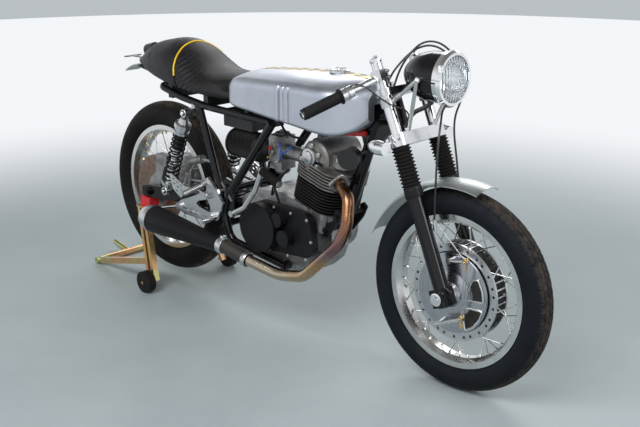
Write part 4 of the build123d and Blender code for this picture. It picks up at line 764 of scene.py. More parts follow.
# %% Cables as splines
CABLES = (
    ("front_brake_cable", 3.2, "medium", 0.844, (
        (706, -66, 548), (707, -66, 620), (706, -64, 705), (702, -55, 778), (684, -22, 836),
        (656, 18, 862), (647, 62, 874), (644, 103, 900), (626, 126, 955), (599, 114, 1012),
        (566, 72, 1042), (541, 20, 1031), (518, -20, 990), (500, -46, 947), (489, -54, 902),
    )),
    ("speed_cable", 3.2, "medium", 0.985, (
        (771, 82, 352), (767, 75, 396), (736, 69, 478), (708, 70, 560), (686, 70, 640),
        (677, 68, 712), (671, 58, 786), (668, 64, 840), (668, 96, 885), (650, 124, 938),
        (620, 127, 998), (584, 92, 1048), (558, 36, 1054), (540, -8, 1014), (522, -32, 964),
        (509, -38, 910),
    )),
    ("throttle_cable", 2.2, "medium", 0.286, (
        (480, -214, 930), (492, -203, 942), (505, -186, 945), (517, -163, 933), (526, -138, 911),
        (566, -112, 880), (590, -82, 870), (589, -55, 849), (584, -46, 816), (584, -46, 794),
    )),
    ("wiring_loom", 7.0, "limp", 0.147, (
        (557, -27, 783), (557, -26, 813), (570, -14, 845), (598, 2, 860), (615, 12, 873), (625, 20, 892),
    )),
)
for node_name, radius, stiffness, length, corners in CABLES:
    line = bpy.data.curves.new(node_name + "_line", "CURVE")
    line.dimensions = "3D"
    line.bevel_depth = radius / 1000
    line.bevel_resolution = 4
    line.resolution_u = 10
    line.use_fill_caps = True
    spline = line.splines.new("NURBS")
    spline.points.add(len(corners) - 1)
    route = mm(*corners)
    spline.points.foreach_set("co", np.c_[route, np.ones(len(route))].ravel())
    spline.order_u = 3
    spline.use_endpoint_u = True
    line.materials.append(cable_black)
    cable = bpy.data.objects.new(node_name + "_line", line)
    scene.collection.objects.link(cable)
    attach(cable, "front_fork")
    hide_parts(node_name)
    print(node_name, "spline of", len(corners), "points,", length, "m")

# %% [markdown]
# ## The seat
# The seat is foam under stretched leather, with a hump that ends in a yellow piping. The plain solid
# is remeshed into even squares, blown up a little by a cloth simulation so that its flanks crown
# between their edges, and capped so that it stays tight. Seams are pressed in afterwards, because
# the remesh would wipe them out.

# %% Seat cushion by cloth simulation
PIPING_FOOT = np.array((-0.445, 0.0, 0.844))
PIPING_LEAN = 0.38
SEAT_CAP = 0.006


def seat_mesh():
    """Even copy of the seat solid, swollen by at most SEAT_CAP and subdivided once."""
    work = bpy.data.objects.new("seat_work", nodes["seat_pad"].data.copy())
    scene.collection.objects.link(work)
    bm = bmesh.new()
    bm.from_mesh(work.data)
    bmesh.ops.remove_doubles(bm, verts=bm.verts, dist=1e-5)
    bm.to_mesh(work.data)
    bm.free()
    even = work.modifiers.new("even", "REMESH")
    even.mode, even.voxel_size = "VOXEL", 0.0055
    calm = work.modifiers.new("calm", "SMOOTH")
    calm.factor, calm.iterations = 0.5, 10
    bpy.context.view_layer.update()
    base = bpy.data.meshes.new_from_object(work.evaluated_get(bpy.context.evaluated_depsgraph_get()))
    work.modifiers.clear()
    work.data = base
    rest = np.zeros(len(base.vertices) * 3)
    base.vertices.foreach_get("co", rest)
    rest = rest.reshape(-1, 3)
    cloth = work.modifiers.new("swell", "CLOTH")
    cloth.settings.use_pressure = True
    cloth.settings.uniform_pressure_force = 4.0
    cloth.settings.effector_weights.gravity = 0.0
    cloth.point_cache.frame_start, cloth.point_cache.frame_end = 1, 20
    for number in range(1, 21):
        scene.frame_set(number)
    swollen = work.evaluated_get(bpy.context.evaluated_depsgraph_get()).to_mesh()
    moved = np.zeros(len(base.vertices) * 3)
    swollen.vertices.foreach_get("co", moved)
    moved = moved.reshape(-1, 3) - rest
    scene.frame_set(1)
    work.modifiers.clear()
    far = np.linalg.norm(moved, axis=1, keepdims=True)
    moved *= np.minimum(1.0, SEAT_CAP / np.maximum(far, 1e-9))
    lift = np.clip((rest[:, 2:] - 0.80 + 0.1 * np.minimum(rest[:, :1] + 0.16, 0)) / 0.02, 0, 1)
    rest = rest + moved * lift
    base.vertices.foreach_set("co", rest.ravel())
    print("seat swelled by up to", round(float(far.max()) * 1000, 1), "mm before the cap")
    finer = work.modifiers.new("finer", "SUBSURF")
    finer.levels = finer.render_levels = 1
    bpy.context.view_layer.update()
    done = bpy.data.meshes.new_from_object(work.evaluated_get(bpy.context.evaluated_depsgraph_get()))
    bpy.data.objects.remove(work)
    return done


cover = seat_mesh()
cover.name = "seat_cushion"
count = len(cover.vertices)
skin, out_of_skin = np.zeros(count * 3), np.zeros(count * 3)
cover.vertices.foreach_get("co", skin)
cover.vertex_normals.foreach_get("vector", out_of_skin)
skin, out_of_skin = skin.reshape(-1, 3), out_of_skin.reshape(-1, 3)
from_arch = skin[:, 0] - PIPING_FOOT[0] + PIPING_LEAN * (skin[:, 2] - PIPING_FOOT[2])
seam = -0.0030 * np.exp(-((from_arch / 0.005) ** 2))
folds_reach = np.exp(-(((from_arch - 0.05) / 0.05) ** 2)) * np.clip((np.abs(skin[:, 1]) - 0.04) / 0.05, 0, 1)
folds = 0.0011 * np.sin((skin[:, 2] - 0.9 * skin[:, 0]) * 240 + 18 * np.abs(skin[:, 1])) * folds_reach
skin = skin + out_of_skin * (seam + folds)[:, None]
cover.vertices.foreach_set("co", skin.ravel())
cover.shade_smooth()
cover.materials.clear()
cover.materials.append(seat_leather)
seat = bpy.data.objects.new("seat_cushion", cover)
scene.collection.objects.link(seat)
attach(seat, "chassis")
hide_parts("seat_pad")
print("seat", count, "points", len(cover.polygons), "faces")

# %% [markdown]
# ## Piping
# Piping is a thin cord sewn into the seam. Its path is read from the finished cushion: the points
# near the plane of the seam are sorted by their angle round the middle of the seat.

# %% Piping over the hump and along the hem


def smoothed(values):
    """Each value as the mean of seven neighbours, with the end values repeated."""
    return np.convolve(np.pad(values, 3, mode="edge"), np.ones(7) / 7, mode="valid")


def seam_path(low_angle, high_angle, count=90):
    """Points of the cushion within 5 mm of the seam's plane, as a radius for each angle from the middle."""
    middle = np.array((0.0, 0.815))
    near = np.abs(skin[:, 0] - PIPING_FOOT[0] + PIPING_LEAN * (skin[:, 2] - PIPING_FOOT[2])) < 0.005
    y, z = skin[near, 1] - middle[0], skin[near, 2] - middle[1]
    angle, radius = np.arctan2(z, y), np.hypot(y, z)
    order = np.argsort(angle)
    wanted = np.linspace(low_angle, high_angle, count)
    smooth = np.interp(wanted, angle[order], radius[order])
    smooth = smoothed(smooth) + 0.0015
    y, z = smooth * np.cos(wanted), middle[1] + smooth * np.sin(wanted)
    return np.stack([PIPING_FOOT[0] - PIPING_LEAN * (z - PIPING_FOOT[2]), y, z], -1)


piece(
    "seat_piping_yellow",
    tube(spread(seam_path(radians(12), radians(168)), 120), 3.2, 12, across_from=(1, 0, 0)), "chassis",
    yellow_piping,
)
piece(
    "seat_piping_black",
    together(
        tube(seam_path(radians(-6), radians(12), 16), 2.2, 8, across_from=(1, 0, 0)),
        tube(seam_path(radians(168), radians(186), 16), 2.2, 8, across_from=(1, 0, 0)),
    ),
    "chassis", black_rubber,
)

# %% [markdown]
# ## Tyres
# A tyre's section is a flat bead, a round wall and a crowned tread. The same section goes round the
# wheel, and the tread's depth is a function of two parameters: the way round and the way across.
# Zigzag grooves are the places where the way across lies near a triangle wave.

# %% Tyre surface


def arc_through(first, middle, last, count):
    """Points of the circle through three points of a plane, from the first to the last."""
    (ax, ay), (bx, by), (cx, cy) = first, middle, last
    d = 2 * (ax * (by - cy) + bx * (cy - ay) + cx * (ay - by))
    ux = ((ax**2 + ay**2) * (by - cy) + (bx**2 + by**2) * (cy - ay) + (cx**2 + cy**2) * (ay - by)) / d
    uy = ((ax**2 + ay**2) * (cx - bx) + (bx**2 + by**2) * (ax - cx) + (cx**2 + cy**2) * (bx - ax)) / d
    start, via, stop = (np.arctan2(y - uy, x - ux) for x, y in (first, middle, last))
    via = start + (via - start + pi) % (2 * pi) - pi
    stop = via + (stop - via + pi) % (2 * pi) - pi
    t = np.linspace(start, stop, count)
    r = np.hypot(ax - ux, ay - uy)
    return np.stack([ux + r * np.cos(t), uy + r * np.sin(t)], -1)


def tyre(
    centre, axis, half_w, tread_r, bead, shoulder, grooves, pitch, wave, depth, columns=54, rows_round=720,
):
    """Section (across, radius) in millimetres, turned round the axle. Radius at angle t and place s
    across the tread is lowered by depth wherever |s - groove - wave * triangle(t)| is small."""
    flange, seat_r, wall_points = 242.8, 228.0, 14
    groove_half_w, sipe_half_w, slope = 2.0, 1.3, 1.1
    wall_r = flange + 0.44 * (tread_r - flange)
    shoulder_r = tread_r - 0.2 * (tread_r - flange)
    wall = arc_through((-bead, flange + 1), (-half_w, wall_r), (-shoulder, shoulder_r), wall_points)
    tread = arc_through((-shoulder, shoulder_r), (0, tread_r), (shoulder, shoulder_r), columns)
    other = wall[::-1] * (-1, 1)
    section = np.concatenate([[(bead, seat_r), (-bead, seat_r)], wall[:-1], tread, other[1:]])
    t = np.linspace(0, 2 * pi, rows_round, endpoint=False)[:, None]
    s = section[None, :, 0]
    phase = (t * tread_r / pitch) % 1.0
    triangle = 2 * np.abs(2 * phase - 1) - 1
    on_tread = np.zeros(len(section))
    tread_start = 2 + wall_points - 1
    on_tread[tread_start : tread_start + columns] = 1
    cut = np.zeros((rows_round, len(section)))
    for number, groove in enumerate(grooves):
        sway = wave * triangle * (1 if number % 2 else -1)
        cut = np.maximum(cut, np.clip((groove_half_w - np.abs(s - groove - sway)) / slope + 0.5, 0, 1))
    from_sipe = np.abs(((phase + 0.25 * np.sign(s)) % 0.5 - 0.25) * pitch)
    sipe = np.clip(sipe_half_w - from_sipe, 0, 1)
    cut = np.maximum(cut, 0.8 * sipe * (np.abs(s) > shoulder * 0.76))
    radius = section[None, :, 1] - depth * cut * on_tread[None]
    side, up = across(axis)
    ring = np.cos(t)[..., None] * side + np.sin(t)[..., None] * up
    points = np.asarray(centre) + (s[..., None] * unit(axis) + radius[..., None] * ring) / 1000
    return grid(points, round_u=True, round_v=True)


piece(
    "front_tyre_tread",
    tyre(front_axle, fork_left, 47.0, 320.0, 27.0, 34.0, (-21.0, -7.0, 7.0, 21.0), 26.0, 2.6, 4.0),
    "front_wheel", front_tyre_rubber, stands_for=("front_tyre",), sharp=28,
)
piece(
    "rear_tyre_tread",
    tyre(
        rear_axle, (0, 1, 0), 54.0, 331.0, 31.0, 40.0, (-30.0, -10.0, 10.0, 30.0), 30.0, 2.4, 4.0, columns=60,
    ),
    "rear_wheel", rear_tyre_rubber, stands_for=("rear_tyre",), sharp=28,
)

# %% [markdown]
# ## Nipples of the spokes
# Each spoke ends in a small nut, the nipple, that stands out of the rim towards the hub. Its place
# follows from the lacing: 36 spokes, every second one to each side, leaning forward and back in turn.

# %% Spoke nipples
SPOKES = 36


def spoke_ends(centre, x_axis, y_axis, z_axis, flange_r, flange_y, cross_angle, rim_r):
    """Hub and rim ends of all spokes, from the number of each spoke alone."""
    number = np.arange(SPOKES)
    angle = radians(360.0 / SPOKES) * number
    outward = np.where(number % 2, 1.0, -1.0)
    lean = np.where(number // 2 % 2, 1.0, -1.0)

    def at(turn, radius, way):
        flat = np.cos(turn)[:, None] * x_axis + np.sin(turn)[:, None] * y_axis
        return centre + (radius * flat + way[:, None] * z_axis) / 1000

    hub = at(angle + lean * radians(cross_angle), flange_r, outward * flange_y + outward * lean * 1.2)
    rim = at(angle, rim_r, outward * (4 + lean * 1.2))
    return hub, rim


nipple = turned(((0, 0), (0, 3.6), (9, 3.4), (11, 2.4), (11, 0)), (0, 0, 0), (0, 0, 1), sides=6)
# Each wheel: name, centre, its three axes, flange radius and half width, crossing angle, body
wheel_sets = (
    (
        "front", front_axle, fork_forward, np.cross(fork_left, fork_forward), fork_left, 146.0, 26.0, 16.0,
        "front_wheel",
    ),
    (
        "rear", rear_axle, np.array((1.0, 0, 0)), np.array((0, 0, -1.0)), np.array((0, 1.0, 0)), 60.0, 38.0,
        38.0, "rear_wheel",
    ),
)
for name, centre, x_axis, y_axis, z_axis, flange_r, flange_y, cross_angle, body in wheel_sets:
    hub_end, rim_end = spoke_ends(centre, x_axis, y_axis, z_axis, flange_r, flange_y, cross_angle, 214.0)
    turns = np.stack([facing(way) for way in hub_end - rim_end])
    piece(
        name + "_spoke_nipples", copies(nipple, rim_end, turns), body,
        brass if name == "rear" else bright_chrome, sharp=50,
    )

# %% [markdown]
# ## Rear springs and dampers
# A coil spring is a tube along a helix. It is computed as one grid: the way along the wire and the
# way round it. The collar and the lower cup are turned shapes, and both ends are eyes on a bush.

# %% Shock absorbers


def cross_bar(middle, half_width, radius, sides):
    """Bar across the machine through a point in metres, as far to the left as to the right."""
    reach = np.array((0, half_width, 0))
    return bar(middle - reach, middle + reach, radius, sides)


def helix(foot, along, low, high, coil_r, turns_count, count):
    """Points of a helix round an axis, its turns a little closer together towards both ends."""
    side, up = across(along)
    t = np.linspace(0, 1, count)
    rise = low + (high - low) * (0.5 - 0.5 * np.cos(pi * t)) * 0.15 + (high - low) * t * 0.85
    angle = 2 * pi * turns_count * t
    return foot + (
        rise[:, None] * along + coil_r * (np.cos(angle)[:, None] * side + np.sin(angle)[:, None] * up)
    )


def spring_tube(path, along, radius, sides=10):
    """Tube whose circle is held in the plane of the coil's axis, so that it never twists."""
    return tube(path, radius, sides, across_from=tuple(along))


SHOCK_SIDE = 150
spring_parts, damper_parts, collar_parts, dark_parts = [], [], [], []
for side_sign in (-1, 1):
    foot = spot(-493, side_sign * SHOCK_SIDE, 410)
    top = spot(-363, side_sign * SHOCK_SIDE, 722)
    way = unit(top - foot)
    length = np.linalg.norm(top - foot) * 1000
    spring_parts.append(spring_tube(helix(foot, way, 0.050, (length - 86) / 1000, 0.0255, 10, 560), way, 3.3))
    damper_parts.append(
        turned(
            (
                (30, 0), (30, 12), (40, 17), (130, 17), (130, 13), (150, 13), (150, 16), (length - 90, 16),
                (length - 90, 0),
            ),
            foot, way,
        )
    )
    collar_parts.append(
        turned(
            ((12, 0), (12, 11), (22, 15), (30, 27), (46, 29), (48, 20), (48, 0)), foot, way,
            lobes=lambda t: 1 + 0.03 * np.cos(8 * t),
        )
    )
    collar_parts.append(
        turned(
            (
                (length - 84, 0), (length - 84, 22), (length - 82, 29), (length - 74, 29), (length - 72, 24),
                (length - 62, 24), (length - 60, 30), (length - 44, 30), (length - 40, 20), (length - 22, 14),
                (length - 14, 0),
            ),
            foot, way, lobes=lambda t: 1 + 0.035 * np.cos(10 * t),
        )
    )
    dark_parts.append(
        turned([(length - 150 + 2.2 * k, 20.5 if k % 2 else 18.5) for k in range(28)], foot, way, sides=32)
    )
    for end, out in ((foot, 16.0), (top, 15.0)):
        collar_parts.append(cross_bar(end, 0.014, out, 28))
        dark_parts.append(cross_bar(end, 0.0155, 10.0, 20))
        damper_parts.append(cross_bar(end, 0.022, 6.0, 16))
piece("shock_springs", together(*spring_parts), "chassis", satin_black, sharp=80)
piece("shock_dampers", together(*damper_parts), "chassis", bright_chrome)
piece(
    "shock_collars", together(*collar_parts), "chassis", turned_alloy,
    stands_for=("shock_absorbers",),
)
piece("shock_bushes_and_thread", together(*dark_parts), "chassis", satin_black)

# %% [markdown]
# ## Exhaust
# The header is one steel tube, 40 mm across, bent down from the port and back under the engine. Its
# corners are the same as the solid's. Further back it wears a heat wrap, a band wound on with
# an overlap, and then the matt black cone of the silencer with its bright cap.

# %% Header, wrap and silencer
PORT = np.array((300.0, -56.0, 580.0))
port_way = unit((0.86, -0.36, -0.36))
HEADER_CORNERS = np.array([
    PORT + port_way * 4, PORT + port_way * 84, (396, -118, 470), (380, -138, 404), (232, -150, 262),
    (120, -154, 238), (-20, -172, 262), (-140, -180, 286),
])


def fillet_reach(corners, radii):
    """How far before each corner an arc of that radius starts: radius * tan(half the turn)."""
    before, after = unit(corners[1:-1] - corners[:-2]), unit(corners[2:] - corners[1:-1])
    turn = np.arccos(np.clip((before * after).sum(-1), -1, 1))
    return np.asarray(radii) * np.tan(turn / 2)


header_path = spread(bent(HEADER_CORNERS, fillet_reach(HEADER_CORNERS, (40, 60, 70, 80, 150, 150))), 150)
header_path = np.array([smoothed(coordinate) for coordinate in header_path.T]).T
piece(
    "header_pipe", tube(header_path, 20.0, 32), "chassis", header_steel,
    stands_for=("exhaust_header",), sharp=60,
)
flange_face = (PORT + port_way * 8) / 1000
flange_shape = turned(
    ((-6, 21.5), (-6, 31), (-4, 33), (3, 33), (5, 31), (5, 21.5)), flange_face, port_way, 40, closed=True,
    lobes=lambda t: 1 + 0.16 * np.cos(2 * t) ** 8,
)
piece("header_flange", flange_shape, "chassis", plain_steel)

wrap_start = int(np.argmin(np.abs(header_path[:, 0] + 0.028)))
wrap_path = spread(header_path[wrap_start:], 160)
wind = np.arange(160) / 160 * 9.0
wrap_r = 22.2 + 1.6 * (wind % 1.0)
wrap_cloth = leather("heat_wrap_cloth", (0.040, 0.034, 0.030), (0.062, 0.054, 0.046))
piece("header_wrap", tube(wrap_path, wrap_r, 32), "chassis", wrap_cloth, sharp=50)

can_front, can_back = mm((-140, -180, 286), (-575, -192, 303))
can_way = unit(can_back - can_front)
run = float(np.linalg.norm(can_back - can_front) * 1000)
piece(
    "silencer_cone",
    turned(
        (
            (2, 0), (2, 22), (4, 25.5), (22, 27.5), (120, 33.5), (240, 41.5), (run - 110, 48.5),
            (run - 60, 50.5), (run - 52, 50.5), (run - 50, 48), (run - 50, 0),
        ),
        can_front, can_way, 64,
    ),
    "chassis", satin_black, stands_for=("muffler",), sharp=25,
)
piece(
    "silencer_cap",
    turned(
        (
            (run - 52, 0), (run - 52, 51.4), (run - 40, 51.8), (run - 18, 47), (run - 2, 39), (run, 37),
            (run - 1, 33), (run - 9, 28), (run - 30, 25), (run - 30, 0),
        ),
        can_front, can_way, 64,
    ),
    "chassis", turned_alloy, sharp=25,
)
band = turned(
    ((-14, 22), (-14, 29.3), (-12, 30), (10, 30), (12, 29.3), (12, 22)), can_front + can_way * 0.004, can_way,
    48, closed=True,
)
band_back = turned(
    ((-9, 24), (-9, 27), (-8, 27.6), (8, 27.6), (9, 27), (9, 24)), header_path[wrap_start],
    header_path[wrap_start + 1] - header_path[wrap_start], 40, closed=True,
)
ears = together(
    bar(can_front + np.array((0, -0.012, 0.033)), can_front + np.array((0, 0.014, 0.033)), 3.4, 12),
    slab(
        ((-10, -1), (10, -1), (10, 14), (-10, 14)), can_front + np.array((0.003, -0.006, 0.026)), (1, 0, 0),
        (0, 0, 1), 3,
    ),
    slab(
        ((-10, -1), (10, -1), (10, 14), (-10, 14)), can_front + np.array((0.003, 0.006, 0.026)), (1, 0, 0),
        (0, 0, 1), 3,
    ),
)
piece("silencer_clamps", together(band, band_back, ears), "chassis", turned_alloy)

# %% [markdown]
# ## Fork gaiters
# A gaiter is a rubber bellows. Its radius goes up and down eleven times along the leg, as a sharpened
# sine, and its ends are smooth bands under the clips.

# %% Gaiters, dust covers and clips


def gaiter(side_y):
    """Radius 27.4 mm with folds of 3.2 mm: folds * sign(sin) * |sin| ** 0.8 along the leg."""
    way = np.linspace(0, 131, 150)
    wave = np.sin(2 * pi * (way - 6) / 10.8 - pi / 2)
    radius = 27.4 + 3.2 * np.sign(wave) * np.abs(wave) ** 0.8
    radius = np.where((way < 7) | (way > 125), 27.5, radius)
    profile = np.stack([way, radius], -1)
    profile = np.concatenate([[(0, 18.2)], profile, [(131, 18.2)]])
    return turned(profile, on_fork((0, side_y, 338))[0], fork_up, 48, closed=True)


piece(
    "gaiters", together(gaiter(-LEG_SIDE), gaiter(LEG_SIDE)), "front_fork", black_rubber,
    stands_for=("fork_gaiters",), sharp=70,
)
cap_ring = ((-30, 24.2), (-30, 27.5), (-27, 28.6), (-4, 28.6), (0, 27.5), (3, 24.5))
caps = [turned(cap_ring, on_fork((0, y, 338))[0], fork_up, 48, closed=True) for y in (-LEG_SIDE, LEG_SIDE)]
piece("dust_covers", together(*caps), "front_fork", satin_black)

# %% [markdown]
# ## Chain
# A roller chain repeats one link every 15.875 mm. The path is the belt round both sprockets: two
# straight tangents and two arcs. Outer and inner links are two small shapes, set in turn from
# pin to pin.

# %% Chain links
PITCH = 15.875


def belt(centre_a, radius_a, centre_b, radius_b, count):
    """Evenly spaced points round two circles (a behind b) and along their outer tangents."""
    gap = np.asarray(centre_b, float) - centre_a
    distance = np.hypot(*gap)
    base = np.arctan2(gap[1], gap[0])
    tip = np.arccos((radius_a - radius_b) / distance)
    arc_a = np.linspace(base + tip, base + 2 * pi - tip, 200)
    arc_b = np.linspace(base - tip, base + tip, 80)
    ring = np.concatenate([
        np.stack([centre_a[0] + radius_a * np.cos(arc_a), centre_a[1] + radius_a * np.sin(arc_a)], -1),
        np.stack([centre_b[0] + radius_b * np.cos(arc_b), centre_b[1] + radius_b * np.sin(arc_b)], -1),
    ])
    ring = np.concatenate([ring, ring[:1]])
    way = np.concatenate([[0], np.cumsum(np.hypot(*np.diff(ring, axis=0).T))])
    even = np.linspace(0, way[-1], count, endpoint=False)
    return np.stack([np.interp(even, way, ring[:, i]) for i in range(2)], -1), way[-1]


# The rear sprocket's centre and pitch radius, then the front one's, in millimetres
SPROCKETS = ((-640, 371), 113.0, (-110, 392), 45.0)
_, loop = belt(*SPROCKETS, 10)
links = int(round(loop / PITCH / 2)) * 2
pins, _ = belt(*SPROCKETS, links)
pin_rows = np.stack([pins[:, 0], np.full(links, 76.0), pins[:, 1]], -1) / 1000
middles = (pin_rows + np.roll(pin_rows, -1, 0)) / 2
aims = unit(np.roll(pin_rows, -1, 0) - pin_rows)
link_turns = np.stack([aims, np.repeat([[0.0, 1.0, 0.0]], links, 0), np.cross(aims, (0.0, 1.0, 0.0))], 1)
t = np.linspace(0, 2 * pi, 20, endpoint=False)
waist = 5.6 - 1.2 * (np.abs(np.cos(t)) < 0.35)
plate_x = 7.9 * np.sign(np.cos(t)) * (np.abs(np.cos(t)) > 0.3) + waist * np.cos(t)
plate_outline = np.stack([plate_x, waist * np.sin(t)], -1)


def link_plate(side_y):
    """Waisted link plate standing in the plane of the chain at one side of it."""
    return slab(plate_outline, (0, (side_y + 0.8) / 1000, 0), (1, 0, 0), (0, 0, 1), 1.6, 0.3)


outer = together(link_plate(-6.4), link_plate(6.4))
inner = together(link_plate(-4.6), link_plate(4.6))
rollers = turned(
    ((-6.9, 0), (-6.9, 2.4), (-4, 2.4), (-4, 4.9), (4, 4.9), (4, 2.4), (6.9, 2.4), (6.9, 0)), (0, 0, 0),
    (0, 1, 0), sides=10,
)
chain_shape = together(
    copies(outer, middles[::2], link_turns[::2]),
    copies(inner, middles[1::2], link_turns[1::2]),
    copies(rollers, pin_rows, np.eye(3)),
)
piece("chain_links", chain_shape, "chassis", plain_steel, stands_for=("drive_chain",), sharp=40)
print("chain", links, "links, pitch", round(loop / links, 2), "mm")

# %% [markdown]
# ## Laid on the tank
# The ribs and the painted band follow the tank's own surface. Each starts as a flat grid beside the
# tank, is thrown onto it along one axis, and then gets a thickness, half of it proud.

# %% Ribs and band on the tank


def laid_on(name, points, target, axis, thickness, body, finish):
    """A sheet of points (n x m x 3, metres) projected along an axis onto a solid, and thickened."""
    made = piece(name, grid(points), body, finish)
    wrap = made.modifiers.new("wrap", "SHRINKWRAP")
    wrap.target = nodes[target]
    wrap.wrap_method = "PROJECT"
    wrap.use_project_x = axis == "X"
    wrap.use_project_y = axis == "Y"
    wrap.use_project_z = axis == "Z"
    wrap.use_negative_direction = True
    wrap.use_positive_direction = True
    skin = made.modifiers.new("skin", "SOLIDIFY")
    skin.thickness = thickness / 1000
    skin.offset = 0.0
    return made


def sheet(x, y, z, columns, rows):
    """Flat grid between two corners; one of the three pairs is a single value."""
    u, v = np.meshgrid(np.linspace(0, 1, columns), np.linspace(0, 1, rows), indexing="ij")
    if np.isscalar(y):
        return np.stack([x[0] + (x[1] - x[0]) * u, np.full_like(u, y), z[0] + (z[1] - z[0]) * v], -1) / 1000
    return np.stack([x[0] + (x[1] - x[0]) * u, y[0] + (y[1] - y[0]) * v, np.full_like(u, z)], -1) / 1000


for number, (rib_from, rib_to, proud) in enumerate(((101, 115, 4.0), (121, 137, 1.2), (145, 160, 4.0))):
    for side_sign, side_name in ((-1, "right"), (1, "left")):
        laid_on(
            f"tank_rib_{side_name}_{number}", sheet((rib_from, rib_to), side_sign * 190, (768, 884), 5, 40),
            "fuel_tank", "Y", 2 * proud, "chassis", tank_alloy,
        )


def chevron_paint(name, first, second, pitch, slope):
    """Two colours in chevrons: a bar is where the fraction of (x + slope * |y|) / pitch is over a half."""
    made, tree, shader = begin(name, coat=0.3)
    place = put(tree, "SeparateXYZ", {"Vector": put(tree, "TexCoord").outputs["Object"]}).outputs
    from_middle = maths(tree, "ABSOLUTE", place["Y"])
    leaning = maths(tree, "MULTIPLY_ADD", from_middle, slope, place["X"])
    part = maths(tree, "FRACT", maths(tree, "MULTIPLY", leaning, 1 / pitch))
    dark = maths(tree, "GREATER_THAN", part, 0.5)
    worn = noise(tree, 90.0, 6.0, rough=0.7)
    colour = blend_colours(tree, dark, first, second)
    colour = blend_colours(tree, between(tree, worn, 0.0, 0.5, 0.66, 0.78), colour, (0.55, 0.55, 0.54))
    tree.links.new(colour, shader.inputs["Base Color"])
    tree.links.new(between(tree, worn, 0.25, 0.4), shader.inputs["Roughness"])
    raise_surface(tree, shader, worn, 0.00003)
    return made


band_paint = chevron_paint("tank_band_paint", (0.88, 0.58, 0.02), (0.02, 0.02, 0.022), 0.052, 0.8)
laid_on(
    "tank_band", sheet((-120, 400), (-20, 20), 990, 120, 9), "fuel_tank", "Z", 0.9, "chassis", band_paint,
)

# %% [markdown]
# ## Filler cap
# The flip cap is a turned ring with a knurled edge, a shallow dish, a hinge behind and a lever on top.

# %% Filler cap
cap_centre = spot(249, 0, 925)
cap_shape = turned(
    (
        (0, 0), (0, 32), (2, 33.6), (9, 33.6), (11, 31), (12, 26), (10.5, 24), (10.5, 12), (13.5, 10),
        (13.5, 0),
    ),
    cap_centre, (0, 0, 1), sides=72, lobes=lambda t: 1 + 0.012 * np.sign(np.cos(36 * t)),
)
cap_lever = bar(cap_centre + spot(-6, 0, 14), cap_centre + spot(26, 0, 14), 2.4, 12)
cap_hinge = bar(cap_centre + spot(-29, -12, 9), cap_centre + spot(-29, 12, 9), 4.0, 14)
piece(
    "filler_flip_cap", together(cap_shape, cap_lever, cap_hinge), "chassis", polished_alloy,
    stands_for=("filler_cap",),
)

# %% [markdown]
# ## Front brake
# Two triangular air scoops with dark gauze open in the front of the panel, each inside a rounded
# frame. The levers end in brass clevises, and the axle in a bright disc with a short stub. The drum
# beside the spokes has shallow ribs round its edge.

# %% Scoops, clevises and axle end
wheel_x = unit(np.cross(fork_left, (0, 0, 1)))
wheel_z = np.cross(wheel_x, fork_left)


def on_panel(*points):
    """Points on the brake side of the front wheel, in millimetres: forward, up, and along the axle."""
    points = np.array(points, float) / 1000
    return front_axle + points[:, :1] * wheel_x + points[:, 1:2] * wheel_z + points[:, 2:] * fork_left


ROUND_SHARE = 0.16


def rounded(corners, count):
    """Closed outline whose corners are parabolas that take up ROUND_SHARE of each side."""
    corners = np.asarray(corners, float)
    before, after = np.roll(corners, 1, 0), np.roll(corners, -1, 0)
    start, stop = corners + (before - corners) * ROUND_SHARE, corners + (after - corners) * ROUND_SHARE
    t = np.linspace(0, 1, count)[:, None]
    curves = [
        (1 - t) ** 2 * first + 2 * t * (1 - t) * corner + t**2 * last
        for first, corner, last in zip(start, corners, stop)
    ]
    return np.concatenate(curves)


SCOOP_DEPTH = -45.5
scoops = (
    ((46, -8), (76, 62), (96, 66), (112, 34), (118, 0)),
    ((42, -32), (116, -28), (106, -58), (86, -86), (58, -104)),
)
frames, gauzes = [], []
for corners in scoops:
    outline = rounded(corners, 7)
    depth = np.full((len(outline), 1), SCOOP_DEPTH)
    frames.append(
        tube(on_panel(*np.hstack([outline, depth])), 3.4, 10, closed=True, across_from=tuple(fork_left))
    )
    middle = outline.mean(0)
    rings = [middle + (outline - middle) * share for share in (0.0, 0.5, 0.9, 0.98)]
    lows = (-0.5, -0.5, -0.6, 2.0)
    placed = [on_panel(*np.hstack([ring, depth + low])) for ring, low in zip(rings, lows)]
    gauzes.append(grid(np.stack(placed), round_v=True))
gauze = plain_finish(
    "dark_gauze", (0.012, 0.011, 0.010), (0.05, 0.045, 0.04), metallic=0.4, rough=(0.4, 0.7), grain=1800,
    bump=0.0006,
)
piece("brake_scoop_frames", together(*frames), "front_fork", polished_alloy)
piece("brake_scoop_screens", together(*gauzes), "front_fork", gauze)
axle_end = turned(
    ((0, 0), (0, 19), (3, 20), (5, 20), (6, 17), (6, 11), (10, 10), (10, 0)), on_panel((0, 0, -119))[0],
    -fork_left, 40
)
piece("front_axle_disc", axle_end, "front_fork", bright_chrome)
# Each lever ends in a brass clevis of two cheeks, a pin and a hexagon, placed in the machine's axes
clevises = []
for x, z in ((830, 444), (824, 262)):
    eye = spot(x, -68, z)
    for y in (-0.0075, 0.0045):
        clevises.append(bar(eye + np.array((0, y, 0.006)), eye + np.array((0, y + 0.003, 0.006)), 6.5, 20))
    clevises.append(cross_bar(eye, 0.012, 3.4, 14))
    clevises.append(bar(eye + np.array((0, 0, -0.030)), eye + np.array((0, 0, -0.008)), 4.6, 6))
piece("brake_clevises", together(*clevises), "front_fork", brass)
drum_fins = turned(
    ((-22, 120), (-22, 146), (22, 146), (22, 120)), front_axle, fork_left, 216, closed=True,
    lobes=lambda t: 1 + 0.012 * np.sign(np.cos(36 * t)),
)
piece("front_drum_fins", drum_fins, "front_wheel", barrel_black)

